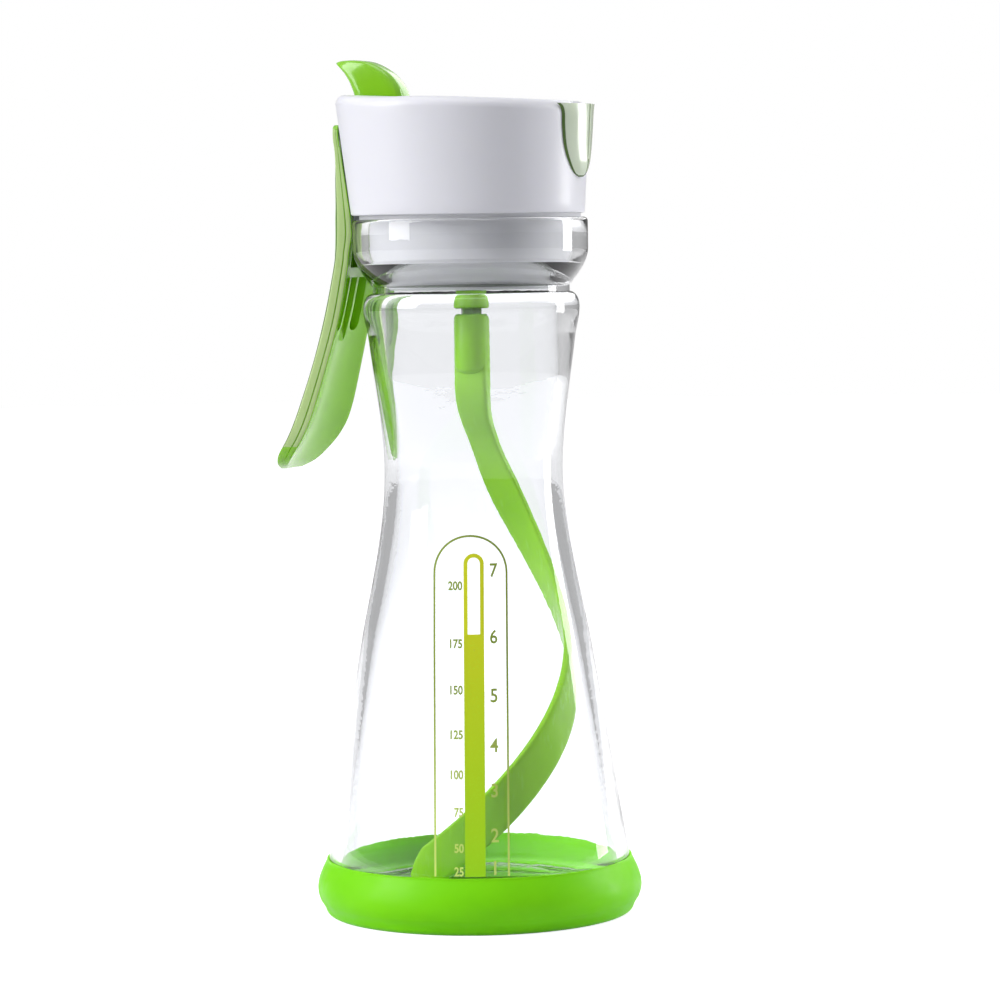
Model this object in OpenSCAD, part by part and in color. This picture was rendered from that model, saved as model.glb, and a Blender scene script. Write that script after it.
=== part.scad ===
// Trigger-driven salad dressing mixer: waisted glass bottle, silicone boot, geared lid and helical blade.
// The origin is the centre of the standing face. +X points to the pouring lip and +Z up.

/* [Glass bottle] */
// Height of the glass lip above the table
lip_z = 172; // [165:0.5:180]
// Outer radius of the wide lip
lip_r = 29; // [28:0.1:30]
// Radius of the mouth that takes the plug
mouth_r = 25.3; // [25:0.1:26]
// Radius of the straight bore below the mouth
neck_bore_r = 21.3; // [21:0.1:22]
// Outer radius where the glass enters the boot
glass_foot_r = 37.4; // [34:0.2:40]
// Outer radius at the end of the straight lower cone
shoulder_r = 28.5; // [27:0.1:30]
// Height at which the lower cone ends
shoulder_z = 68; // [60:1:74]
// Outer radius of the waist
waist_r = 22.1; // [21.5:0.1:23]
// Height of the waist
waist_z = 110; // [100:1:115]
// Thickness of the glass wall
glass_wall = 3.1; // [2.6:0.1:3.4]
// Thickness of the glass at its base
glass_base_t = 5; // [4:0.2:6]
// Radius of the bead below the neck groove
bead_r = 26.7; // [25.5:0.1:27]

/* [Boot] */
// Height of the silicone boot
boot_h = 14; // [10:0.5:20]
// Thickness of the boot's wall where it bulges most
boot_wall = 3.1; // [2:0.1:6]
// Thickness of the boot under the glass
boot_floor_t = 2; // [1.4:0.1:3]
// Number of shallow grip grooves in the standing face
boot_grooves = 3; // [1:1:4]
// Distance between two grip grooves
groove_pitch = 7; // [4:0.5:8]

/* [Lid] */
// Height of the cap wall at the axis
cap_h = 28.4; // [27:0.2:32]
// Outer radius of the cap at its lower edge
cap_bottom_r = 28.8; // [28.6:0.1:29.4]
// Outer radius of the cap at its upper edge
cap_top_r = 31.4; // [31:0.1:33]
// Backward lean of the cap wall in degrees
cap_lean = 2.1; // [1:0.1:3]
// Fall of the top face towards the lip in degrees
cap_slope = 2.6; // [1:0.1:3.5]
// Thickness of the cap wall
cap_wall = 2.2; // [1.8:0.1:2.4]
// Rounding of the top edge
cap_round = 2.5; // [1.5:0.1:3]
// Depth of the plug below the glass lip
plug_depth = 17.4; // [16.6:0.1:19]
// Wall of the plug
plug_wall = 1.8; // [1.4:0.1:2]
// Height of the dark gap between cap and glass
lid_gap = 1; // [0.6:0.1:1.4]
// Thickness of the gear deck
deck_t = 2; // [1.8:0.1:2.4]
// Number of screws that hold the deck
screw_count = 3; // [2:1:3]

/* [Pouring] */
// Radius of the pour tube bore
pour_bore_r = 4.2; // [3.8:0.1:4.3]
// Distance of the pour tube from the axis
pour_x = 13.2; // [12.6:0.1:13.4]
// Width of the pour lever
lever_w = 8; // [7:0.1:8.4]
// Thickness of the pour lever bar
lever_t = 3.2; // [2.8:0.1:3.6]
// Distance of the lever pivot behind the axis
lever_pivot_x = 13.5; // [12.5:0.1:14]
// Depth of the lever channel below the top of the cap
channel_depth = 7.4; // [7:0.1:8]
// Height of the thumb horn above the cap
horn_h = 9.2; // [8:0.1:11]
// Distance of the thumb horn behind the axis
horn_x = 22; // [21:0.1:23]
// How far the pouring lip stands out of the cap
spout_proud = 1; // [0.8:0.1:1.6]

/* [Trigger] */
// How far the trigger hangs below the glass lip
trigger_drop = 61.5; // [56:0.5:64]
// How far the trigger rises above the glass lip
trigger_rise = 23.3; // [22:0.1:24]
// Half width of the trigger at the neck
trigger_half_w = 10; // [9.6:0.1:10.6]
// Thickness of the trigger edge
trigger_edge_t = 3.8; // [3.4:0.1:4.2]
// Radius of the trigger hinge pin
trigger_pin_r = 1; // [0.8:0.05:1.1]
// Height of the hinge pin below the glass lip
trigger_pin_drop = 4; // [3.6:0.1:4.4]
// Height of the rack link above the hinge pin
link_rise = 18; // [17.8:0.1:18.2]

/* [Gear train] */
// Module of the rack and its pinion
rack_module = 0.7; // [0.65:0.05:0.7]
// Teeth of the idler pinion
pinion_teeth = 10; // [10:1:11]
// Module of the idler wheel and the spindle pinion
wheel_module = 0.6; // [0.55:0.05:0.6]
// Teeth of the idler wheel
wheel_teeth = 36; // [34:1:37]
// Teeth of the spindle pinion
spindle_teeth = 12; // [11:1:13]
// Pressure angle in degrees
pressure_angle = 25; // [24:1:27]
// Play between two meshed teeth
backlash = 0.16; // [0.1:0.02:0.2]
// Running clearance round a pin or shaft
run_gap = 0.06; // [0.03:0.01:0.08]

/* [Blade] */
// Greatest radius of the blade's centre line
blade_r = 27; // [24:0.5:28]
// Width of the blade band
blade_w = 9.8; // [8:0.2:11]
// Thickness of the blade band
blade_t = 2; // [1.6:0.1:2.6]
// Turn of the blade from hub to tip in degrees
blade_turn = 215; // [180:5:230]
// Radius of the blade hub
hub_r = 4.4; // [4.2:0.1:5]
// Across-corner radius of the hexagonal drive
hex_r = 2.7; // [2.4:0.1:2.9]

/* [Hidden] */
$fn = 96;
clear = 0.4;
fit = 0.05;

lime = [0.42, 0.76, 0.05];
pale_lime = [0.74, 0.85, 0.62];
white_gloss = [0.95, 0.95, 0.97];
steel = [0.75, 0.76, 0.78];

// Glass levels, all counted from the lip or the boot floor
boot_r = glass_foot_r + boot_wall;
reach = 2 * lip_r;
glass_z0 = boot_floor_t;
floor_z = glass_z0 + glass_base_t;
groove_z = lip_z - 17.1;
groove_r = 24.3;
bead_z = lip_z - 21.8;
under_bead_z = lip_z - 30;
under_bead_r = bead_r - 1.3;
mouth_z = lip_z - 10;
bore_top_z = lip_z - 15;

// Lid levels
cap_z0 = lip_z + lid_gap;
cap_shift = -0.5;
deck_z = cap_z0 + deck_t;
flange_r = cap_bottom_r - 1.5;
plug_z = lip_z - plug_depth;
plug_r = mouth_r - clear;
plug_low_r = neck_bore_r - 0.9;
seal_h = 1.4;
seal_z = plug_z + 1;
plug_floor_z = plug_z + 3;
channel_z = cap_z0 + cap_h - channel_depth;
channel_wall = 1.3;
channel_half_w = lever_w / 2 + clear;
well_r = pour_bore_r + 1.8;
rim_z = channel_z + 1;

// Gear levels and centres
wheel_z = cap_z0 + 6.5;
wheel_t = 2;
rack_z = cap_z0 + 11.1;
rack_h = 3.6;
rack_half_w = 2;
axle_top_z = channel_z - channel_wall - 1.5;
pinion_r = rack_module * pinion_teeth / 2;
wheel_r = wheel_module * wheel_teeth / 2;
spindle_pinion_r = wheel_module * spindle_teeth / 2;
idler_y = rack_half_w + pinion_r;
idler_x = -sqrt(pow(wheel_r + spindle_pinion_r, 2) - idler_y * idler_y);
axle_r = 1.5;
shaft_r = 2.5;
bush_r = 4.2;
bush_top_z = deck_z + 3;
clip_t = 0.8;
collar_r = 3.8;
collar_z = lip_z - 22.2;
hub_z = collar_z - 0.3;
dog_l = 6.8;

// Trigger hinge and link
hinge_x = -(lip_r + 2.4);
hinge_z = lip_z - trigger_pin_drop;
lug_half_w = 4;
lug_r = trigger_pin_r + 0.7;
pocket_half_w = lug_half_w + 0.7;
pin_half_l = 6.8;
link_x = hinge_x + 4.2;
link_z = hinge_z + link_rise;
link_r = 0.8;
link_boss_r = link_r + 1;
rib_half_w = 1.6;
fork_in = rib_half_w + 0.3;
fork_out = 3.6;

// Pour lever pivot
function top_z(x) = cap_z0 + cap_h - x * tan(cap_slope);
pivot_z = top_z(-lever_pivot_x) - 3.4;
pour_pin_r = 0.9;

// Cubic from value a with slope p to value b with slope q over a length l
function cubic(a, p, b, q, l, t) = a * (1 - 3 * t * t + 2 * t * t * t) + l * p * t * (1 - t) * (1 - t)
    + b * (3 * t * t - 2 * t * t * t) + l * q * t * t * (t - 1);

// Smooth curve through rows of numbers, with n steps between two rows
function row(rows, i) = rows[max(0, min(len(rows) - 1, i))];
function between(rows, i, t) = 0.5 * (2 * row(rows, i) + t * (row(rows, i + 1) - row(rows, i - 1))
    + t * t * (2 * row(rows, i - 1) - 5 * row(rows, i) + 4 * row(rows, i + 1) - row(rows, i + 2))
    + t * t * t * (3 * row(rows, i) - row(rows, i - 1) - 3 * row(rows, i + 1) + row(rows, i + 2)));
function smooth_rows(rows, n) = concat([for (i = [0 : len(rows) - 2]) for (k = [0 : n - 1]) between(rows, i, k / n)],
    [rows[len(rows) - 1]]);

// Closed skin over rings that all have the same number of points
module skin(rings) {
    n = len(rings[0]);
    m = len(rings);
    points = [for (ring = rings) for (p = ring) p];
    sides = [for (i = [0 : m - 2]) for (j = [0 : n - 1]) let (a = i * n + j, b = i * n + (j + 1) % n)
        each [[a, b, b + n], [a, b + n, a + n]]];
    low = [for (j = [1 : n - 2]) [0, j + 1, j]];
    high = [for (j = [1 : n - 2]) [(m - 1) * n, (m - 1) * n + j, (m - 1) * n + j + 1]];
    polyhedron(points = points, faces = concat(sides, low, high), convexity = 8);
}

// Ring of a rounded bar: half sizes a and b, laid on the unit directions u and v round a centre
function bar_ring(centre, u, v, a, b, n, square) = [for (k = [0 : n - 1]) let (c = cos(360 * k / n), s = sin(360 * k / n))
    centre + u * a * sign(c) * pow(abs(c), square) + v * b * sign(s) * pow(abs(s), square)];

function unit(v) = v / norm(v);

// Involute spur gear outline
function involute(base, r) = let (q = sqrt(max(0, r * r / base / base - 1))) q * 180 / PI - atan(q);
function flank(m, z, play, r) = let (p = m * z / 2, base = p * cos(pressure_angle))
    90 / z - play / 2 / p * 180 / PI + involute(base, p) - involute(base, max(base, r));
function gear_points(m, z, play) = let (p = m * z / 2, base = p * cos(pressure_angle), root = p - 1.1 * m,
    tip = p + 0.85 * m, low = max(base, root), steps = 4,
    rise = [for (k = [0 : steps]) low + (tip - low) * k / steps])
    [for (i = [0 : z - 1]) let (c = 360 * i / z) each concat(
        [[root, c - flank(m, z, play, low)]],
        [for (r = rise) [r, c - flank(m, z, play, r)]],
        [for (k = [steps : -1 : 0]) [rise[k], c + flank(m, z, play, rise[k])]],
        [[root, c + flank(m, z, play, low)]])];

module gear(m, z, h) {
    linear_extrude(h)
        polygon([for (p = gear_points(m, z, backlash / 2)) p[0] * [cos(p[1]), sin(p[1])]]);
}

module disc(z0, z1, r) {
    translate([0, 0, z0])
        cylinder(h = z1 - z0, r = r);
}

module ring(z0, z1, r_out, r_in) {
    difference() {
        disc(z0, z1, r_out);
        disc(z0 - 1, z1 + 1, r_in);
    }
}

// Rod along Y, centred on the middle plane
module cross_rod(x, z, half_l, r) {
    translate([x, half_l, z])
        rotate([90, 0, 0])
            cylinder(h = 2 * half_l, r = r, $fn = 48);
}

module box(x, y, z) {
    translate([x[0], y[0], z[0]])
        cube([x[1] - x[0], y[1] - y[0], z[1] - z[0]]);
}

// Outer outline of the glass from its foot to the lip
function glass_outside() = concat(
    [for (a = [-90 : 15 : 0]) [glass_foot_r - 4 + 4 * cos(a), glass_z0 + 4 + 4 * sin(a)]],
    [[glass_foot_r, boot_h]],
    [for (t = [0 : 0.125 : 1]) [cubic(shoulder_r, -0.19, waist_r, 0, waist_z - shoulder_z, t),
        shoulder_z + (waist_z - shoulder_z) * t]],
    [for (t = [0.125 : 0.125 : 1]) [cubic(waist_r, 0, under_bead_r, 0.12, under_bead_z - waist_z, t),
        waist_z + (under_bead_z - waist_z) * t]],
    [for (t = [0.2 : 0.2 : 1]) [cubic(under_bead_r, 0.12, bead_r, 0, bead_z - under_bead_z, t),
        under_bead_z + (bead_z - under_bead_z) * t]],
    [for (a = [15 : 15 : 90]) [bead_r - (bead_r - groove_r) * (1 - cos(a)), bead_z + 3.6 * sin(a)]],
    [for (t = [0 : 0.125 : 1]) [groove_r + (lip_r - groove_r) * sin(90 * t), groove_z + 0.5 + 9.3 * t]],
    [for (a = [0 : 22.5 : 90]) [lip_r - 1 + cos(a), lip_z - 1 + sin(a)]]);

// Inner outline of the glass from the lip down to the floor
function glass_inside() = concat(
    [for (a = [90 : 22.5 : 180]) [mouth_r + 0.8 + 0.8 * cos(a), lip_z - 0.8 + 0.8 * sin(a)]],
    [[mouth_r, mouth_z], [mouth_r - 0.4, mouth_z - 1], [neck_bore_r + 0.3, bore_top_z + 0.6],
        [neck_bore_r, bore_top_z]],
    [for (t = [1 : -0.125 : 0.125])
        [min(neck_bore_r, cubic(waist_r, 0, under_bead_r, 0.12, under_bead_z - waist_z, t) - glass_wall),
            waist_z + (under_bead_z - waist_z) * t]],
    [for (t = [1 : -0.125 : 0]) [cubic(shoulder_r, -0.19, waist_r, 0, waist_z - shoulder_z, t) - glass_wall,
        shoulder_z + (waist_z - shoulder_z) * t]],
    [for (a = [0 : -15 : -90])
        [glass_foot_r - glass_wall - 6 + 6 * cos(a), floor_z + 6 + 6 * sin(a)]],
    [[0, floor_z]]);

module glass_bottle() {
    punt = 1.2;
    color([0.86, 0.93, 0.93, 0.4])
        difference() {
            rotate_extrude($fn = 128)
                polygon(concat([[0, glass_z0]], glass_outside(), glass_inside()));
            translate([0, 0, glass_z0])
                cylinder(h = punt, r1 = glass_foot_r - 8, r2 = glass_foot_r - 12, $fn = 128);
        }
}

// Silicone cup: flat standing face, bulged side, thin rim that follows the glass
module base_boot() {
    inner_r = glass_foot_r + fit;
    bulge = boot_r - glass_foot_r - 0.9;
    groove_w = 1.2;
    groove_depth = 0.5;
    color(lime)
        difference() {
            rotate_extrude($fn = 128)
                polygon(concat(
                    [[0, 0]],
                    [for (a = [-90 : 15 : 0]) [boot_r - 4.1 + 2 * cos(a), 2 + 2 * sin(a)]],
                    [for (t = [0.15 : 0.14 : 1]) [boot_r - bulge - 0.1 + bulge * sin(180 * pow(t, 0.8))
                        - 0.3 * t, 2 + (boot_h - 2.4) * t]],
                    [[inner_r + 0.5, boot_h], [inner_r, boot_h - 0.4]],
                    [for (a = [0 : -15 : -90])
                        [inner_r - 4 + 4 * cos(a), boot_floor_t + 4 + 4 * sin(a)]],
                    [[0, boot_floor_t]]));
            for (i = [1 : boot_grooves])
                ring(-1, groove_depth, groove_w + 10.8 + groove_pitch * i, 10.8 + groove_pitch * i);
        }
}

// Centre line, directions and section of the blade at a share s of its length
blade_top_z = lip_z - 39;
blade_tip_z = floor_z + 0.8 + blade_w * 0.42;
view_turn = 21;
function blade_share(s) = 1.065 * s - 0.065 * pow(s, 6.4);
function blade_at(s) = let (a = view_turn + 90 - blade_turn * pow(s, 1.2), u = blade_share(s),
    r = blade_r * sin(90 * pow(u, 0.77)))
    [r * cos(a), r * sin(a), blade_top_z - (blade_top_z - blade_tip_z) * u];
function blade_ring(s) = let (p = blade_at(s), step = 0.004, lo = max(0, s - step), hi = min(1, s + step),
    along = unit(blade_at(hi) - blade_at(lo)), out0 = unit([cos(view_turn + 90 - blade_turn * pow(s, 1.2)),
        sin(view_turn + 90 - blade_turn * pow(s, 1.2)), 0]),
    wide = unit(cross(along, out0)), out = unit(cross(wide, along)), tip = sqrt(max(0.06, min(1, (1 - s) / 0.045))),
    w = (blade_w - 4.6 * exp(-pow((s - 0.12) / 0.08, 2))) * tip,
    t = blade_t + (2 * hub_r - blade_t - 1) * exp(-s / 0.065))
    bar_ring(p, wide, out, w / 2, t / 2, 12, 0.7);

module mixing_blade() {
    rings = 44;
    color(lime)
        difference() {
            union() {
                disc(blade_top_z - 2, hub_z, hub_r);
                translate([0, 0, blade_top_z - 6])
                    cylinder(h = 4, r1 = hub_r - 2, r2 = hub_r);
                skin([for (k = [0 : rings]) blade_ring(k / rings)]);
            }
            translate([0, 0, hub_z - dog_l - 0.8])
                cylinder(h = dog_l + 2, r = hex_r + 0.2, $fn = 6);
        }
}

// Solid form of the cap, drawn in by a distance on all sides
module cap_form(inset) {
    rise = cap_h + 8;
    grow = (cap_top_r - cap_bottom_r) / cap_h;
    edge = max(0.5, cap_round - inset);
    top_r = cap_top_r - inset - 0.1;
    skirt = max(0, cap_bottom_r - cap_top_r) + cap_wall;
    intersection() {
        translate([cap_shift, 0, cap_z0])
            rotate([0, -cap_lean, 0])
                translate([0, 0, -4])
                    cylinder(h = rise + 4, r1 = cap_bottom_r - inset - 4 * grow,
                        r2 = cap_bottom_r - inset + rise * grow);
        translate([cap_shift - cap_h * tan(cap_lean), 0, top_z(cap_shift - cap_h * tan(cap_lean)) - inset])
            rotate([0, cap_slope, 0])
                rotate_extrude($fn = 128)
                    polygon(concat([[0, -cap_h - 6], [top_r + skirt, -cap_h - 6]],
                        [for (a = [0 : 15 : 90]) [top_r - edge + edge * cos(a), -edge + edge * sin(a)]],
                        [[0, 0]]));
        box([-reach, reach], [-reach, reach], [cap_z0 - (inset > 0 ? lid_gap : 0), cap_z0 + reach]);
    }
}

function screw_angle(i) = 90 - 360 * i / screw_count;
screw_ring_r = 21.6;
screw_r = 1.1;
screw_head_r = 2.3;
post_r = 2.6;
outlet_half_w = channel_half_w - 1;

module at_screws() {
    for (i = [0 : screw_count - 1])
        rotate([0, 0, screw_angle(i)])
            translate([screw_ring_r, 0, 0])
                children();
}

channel_back_x = -(cap_top_r - 1.4);
// Slot and round well that the pour lever lies in, grown by a wall
module channel_space(grow, z0) {
    box([channel_back_x - grow, pour_x], [-channel_half_w - grow, channel_half_w + grow], [z0, cap_z0 + reach]);
    translate([pour_x, 0, 0])
        disc(z0, cap_z0 + reach, well_r + grow);
}

window_z = [link_z - 3.4, link_z + 3.6];
module cap_shell() {
    color(white_gloss)
        difference() {
            union() {
                difference() {
                    cap_form(0);
                    cap_form(cap_wall);
                }
                intersection() {
                    cap_form(0.5);
                    difference() {
                        union() {
                            channel_space(channel_wall, channel_z - channel_wall);
                            box([pour_x, reach], [-channel_half_w - channel_wall, channel_half_w + channel_wall],
                                [channel_z - channel_wall, cap_z0 + reach]);
                        }
                        translate([pour_x, 0, 0])
                            disc(0, channel_z + 1, pour_bore_r + 1.2 + fit);
                    }
                }
                intersection() {
                    cap_form(0.5);
                    at_screws()
                        disc(deck_z, cap_z0 + reach, post_r);
                }
                rack_rails();
                translate([idler_x, idler_y, 0])
                    disc(rack_z + rack_h + 0.5, channel_z - channel_wall + 0.3, post_r);
                trigger_lug();
            }
            channel_space(0, channel_z);
            box([pour_x, reach], [-outlet_half_w, outlet_half_w], [channel_z, cap_z0 + reach]);
            box([hinge_x - 5, -20], [-fork_out - 0.6, fork_out + 0.6], window_z);
            at_screws()
                disc(deck_z - 1, deck_z + 12, screw_r + fit);
            translate([idler_x, idler_y, 0])
                disc(0, axle_top_z + 0.2, axle_r + 0.02);
            cross_rod(-lever_pivot_x, pivot_z, channel_half_w + 1.0, pour_pin_r + 0.02);
            cross_rod(hinge_x, hinge_z, reach, trigger_pin_r + 0.02);
            thumb_dish();
        }
}

// Shallow dish in the rim behind the horn, for the thumb
module thumb_dish() {
    translate([channel_back_x - 1.5, 0, top_z(channel_back_x) + 10.9])
        rotate([0, 90, 0])
            cylinder(h = 9, r = 11.6, center = true);
}

// Lug behind the cap that carries the trigger pin
module trigger_lug() {
    intersection() {
        difference() {
            union() {
                box([hinge_x - lug_r, -26], [-lug_half_w, lug_half_w], [hinge_z, window_z[0] - 1]);
                cross_rod(hinge_x, hinge_z, lug_half_w, lug_r);
            }
            cap_form(cap_wall);
            disc(hinge_z - 5, cap_z0, lip_r + 0.4);
        }
        box([-60, 0], [-20, 20], [hinge_z - 5, cap_z0 + cap_h]);
    }
}

// Rails under the channel that guide the rack
module rack_rails() {
    side = rack_half_w + 0.15;
    rail = 1.35;
    foot = 1.35;
    low = rack_z - 0.15;
    top = channel_z - channel_wall + 0.3;
    box([-22, -6], [-side - rail, -side], [low - foot, top]);
    box([-22, -6], [-side - rail, -rack_half_w + 1.1], [low - foot, low]);
    box([-24, -20.2], [side, side + rail], [low - foot, top]);
    box([-24, -20.2], [rack_half_w - 1.1, side + rail], [low - foot, low]);
}

// Cup that fills the neck, with the flange that rests on the lip and the pour tube
module plug_body() {
    tube_r = pour_bore_r + 1.2;
    color(white_gloss)
        difference() {
            union() {
                rotate_extrude()
                    polygon([[0, plug_z], [plug_low_r - 0.5, plug_z], [plug_low_r, plug_z + 0.4],
                        [plug_low_r, seal_z], [plug_low_r - plug_wall, seal_z],
                        [plug_low_r - plug_wall, seal_z + seal_h], [plug_low_r, seal_z + seal_h],
                        [plug_r - 0.6, mouth_z - 0.8], [plug_r, mouth_z + 0.6], [plug_r, lip_z],
                        [flange_r, lip_z], [flange_r, cap_z0], [plug_r - plug_wall, cap_z0],
                        [plug_r - plug_wall, mouth_z + 1.2], [plug_low_r - 2 * plug_wall, plug_floor_z],
                        [0, plug_floor_z]]);
                translate([pour_x, 0, 0])
                    disc(plug_z + 1, rim_z, tube_r);
            }
            translate([pour_x, 0, 0])
                disc(plug_z - 1, rim_z + 1, pour_bore_r);
            disc(plug_z - 1, plug_floor_z + 1, shaft_r + 0.3);
            disc(plug_z + 1.2, plug_floor_z + 1, bush_r);
        }
}

module plug_seal() {
    color([0.25, 0.27, 0.25])
        ring(seal_z + fit, seal_z + seal_h - fit, neck_bore_r - 0.1, plug_low_r - plug_wall + fit);
}

module gear_deck() {
    color([0.9, 0.9, 0.92])
        difference() {
            union() {
                translate([cap_shift, 0, 0])
                    disc(cap_z0, deck_z, cap_bottom_r - cap_wall - 0.2);
                disc(cap_z0, deck_z + 1.6, bush_r + 1.6);
                translate([idler_x, idler_y, 0])
                    disc(cap_z0, deck_z + 0.6, axle_r + 1.4);
            }
            disc(cap_z0 - 1, deck_z + 5, bush_r + fit);
            translate([pour_x, 0, 0])
                disc(cap_z0 - 1, deck_z + 5, pour_bore_r + 1.4);
            translate([idler_x, idler_y, 0])
                disc(cap_z0 + 0.4, deck_z + 5, axle_r + 0.02);
            at_screws() {
                disc(cap_z0 - 1, deck_z + 5, screw_r + 0.1);
                disc(cap_z0 - 1, cap_z0 + 1.2, screw_head_r + 0.1);
            }
        }
}

module deck_screws() {
    color(steel)
        at_screws() {
            disc(cap_z0, cap_z0 + 1.2, screw_head_r);
            disc(cap_z0, deck_z + 10, screw_r);
        }
}

// Shaft from the wheel down to the hexagonal dog, with its own pinion
module drive_spindle() {
    color(lime)
        difference() {
            union() {
                disc(plug_z - 0.3, wheel_z + 4, shaft_r);
                disc(collar_z, plug_z - 0.3, collar_r);
                translate([0, 0, collar_z - dog_l])
                    cylinder(h = dog_l + 0.1, r = hex_r, $fn = 6);
                translate([0, 0, wheel_z - 0.5])
                    rotate([0, 0, atan2(idler_y, idler_x) + 180 / spindle_teeth])
                        gear(wheel_module, spindle_teeth, 3.5);
            }
            ring(bush_top_z, bush_top_z + clip_t, shaft_r + 1, shaft_r - 0.6);
        }
}

module spindle_bush() {
    color([0.85, 0.83, 0.78])
        ring(cap_z0 - 1, bush_top_z, bush_r, shaft_r + run_gap);
}

module spindle_clip() {
    color(steel)
        difference() {
            ring(bush_top_z, bush_top_z + clip_t, shaft_r + 1.3, shaft_r - 0.6 + fit);
            box([0, 8], [-1.3, 1.3], [bush_top_z - 1, bush_top_z + 3]);
        }
}

module shaft_seal() {
    color([0.25, 0.27, 0.25])
        ring(plug_z + 1.2, plug_floor_z - 0.2, bush_r - fit, shaft_r + run_gap);
}

// Toothed bar with a fork for the trigger link
module drive_rack() {
    pitch = PI * rack_module;
    tip_y = rack_half_w + 0.85 * rack_module;
    root_y = rack_half_w - 1.1 * rack_module;
    half = pitch / 4 - backlash / 4;
    color(white_gloss)
        difference() {
            union() {
                box([link_x + 2.2, idler_x + 9], [-rack_half_w, root_y], [rack_z, rack_z + rack_h]);
                box([link_x + 2.2, idler_x - 4.4], [-rack_half_w, rack_half_w], [rack_z, rack_z + rack_h]);
                for (i = [-1 : 3])
                    translate([idler_x + pitch * (i + 0.5), 0, rack_z])
                        linear_extrude(rack_h)
                            polygon([for (e = [[-1, root_y - 0.3], [-1, tip_y], [1, tip_y], [1, root_y - 0.3]])
                                [e[0] * (half - (e[1] - rack_half_w) * tan(pressure_angle)), e[1]]]);
                box([link_x - 2, link_x + 2.6], [-fork_out, fork_out], [rack_z, rack_z + rack_h]);
            }
            box([link_x - 3, link_x + 2.2], [-fork_in, fork_in], [rack_z - 1, rack_z + rack_h + 1]);
            box([link_x - link_r - fit, link_x + link_r + fit], [-5, 5], [link_z - link_r - 0.15, link_z + link_r + 0.75]);
        }
}

module idler_gear() {
    color([0.93, 0.93, 0.9])
        translate([idler_x, idler_y, 0])
            difference() {
                union() {
                    translate([0, 0, wheel_z])
                        rotate([0, 0, atan2(-idler_y, -idler_x)])
                            gear(wheel_module, wheel_teeth, wheel_t);
                    disc(deck_z + 0.6, wheel_z, axle_r + 1.2);
                    disc(wheel_z, rack_z, pinion_r - 0.9);
                    translate([0, 0, rack_z])
                        rotate([0, 0, -90])
                            gear(rack_module, pinion_teeth, rack_h);
                }
                disc(deck_z - 1, rack_z + rack_h + 1, axle_r + run_gap);
                for (a = [30 : 60 : 330])
                    rotate([0, 0, a])
                        translate([6.8, 0, 0])
                            disc(wheel_z - 1, wheel_z + wheel_t + 1, 1.7);
            }
}

module idler_axle() {
    color(steel)
        translate([idler_x, idler_y, 0])
            disc(cap_z0 + 0.4, axle_top_z, axle_r);
}

// Torsion spring under the idler wheel: four turns of round wire in one unbroken tube
module return_spring() {
    wire_r = 0.35;
    coil_r = axle_r + 2.6;
    turns = 3;
    rise = 1.05;
    steps = 12;
    low = deck_z + wire_r;
    function coil(k) = let (a = 360 * k / steps) [coil_r * cos(a), coil_r * sin(a), low + rise * k / steps];
    color(steel)
        translate([idler_x, idler_y, 0])
            skin([for (k = [0 : turns * steps]) let (a = 360 * k / steps, out = [cos(a), sin(a), 0])
                bar_ring(coil(k), out, [0, 0, 1], wire_r, wire_r, 6, 1)]);
}

// Stand-off of the cap's back from the lip radius at a height over the lip
function cap_back(h) = let (up = max(0, h - lid_gap))
    max(0, cap_bottom_r + up * (cap_top_r - cap_bottom_r) / cap_h + up * tan(cap_lean) - cap_shift - lip_r);

// Trigger rows: height over the lip, stand-off of the inner face on the middle plane,
// thickness of the edge, crown of the outer face, half width, hollow of the inner face
w0 = trigger_half_w;
et = trigger_edge_t;
down = trigger_drop / 61.5;
up = trigger_rise / 23.3;
trigger_rows = concat([
    [-61.5 * down, 19.8, 0.3 * et, 0.4, w0 - 7, 0.3],
    [-60.2 * down, 18.4, 0.66 * et, 0.9, w0 - 3.4, 0.7],
    [-58 * down, 16.5, 0.94 * et, 1.6, w0 - 0.8, 1.4],
    [-53.6 * down, 14.5, et, 2.4, w0 + 1.9, 2.5],
    [-47.7 * down, 12, et, 2.8, w0 + 2.6, 3],
    [-35.6 * down, 8, et, 3, w0 + 1.5, 3],
    [-24 * down, 4.4, et, 3.3, w0 + 0.6, 2.4],
    [-12, 1.7, et - 0.3, 3.5, w0, 1.8],
    [-8, 1.15, et - 0.5, 3.6, w0, 1.75],
    [-4, clear, et, 3.6, w0, 1.75],
    [0, clear + 0.1, et - 0.2, 3.6, w0, 1.75]],
    [for (r = [[4, 2.9, 3.6, 0, 1.75], [10.3, 2, 3.4, 0.5, 1.55], [16.5, 1.45, 2.6, 1.3, 1.27],
        [21, 0.8, 1, 4, 0.6], [23.3, 0.35, 0.4, 7.6, 0.1]])
        [r[0] * up, cap_back(r[0] * up) + clear, r[1], r[2], w0 - r[3], r[4]]]);

// Section of the trigger: crowned outside, hollow inside, and thick enough over the hinge pocket
pocket_x = hinge_x - lug_r - clear;
pocket_skin = 0.9;
function trigger_ring(r) = let (z = lip_z + r[0], inner_x = -lip_r - r[1], edge_x = inner_x + r[5] - r[2], w = r[4],
    crown = r[0] > -12 && z < window_z[0] ? max(r[3], edge_x - pocket_x + pocket_skin) : r[3], n = 8)
    concat([for (k = [-n : n]) let (y = k / n) [edge_x - crown * (1 - y * y), w * y, z]],
        [for (k = [n : -1 : -n]) let (y = k / n) [inner_x + r[5] * y * y, (w - 0.35) * y, z]]);

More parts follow.
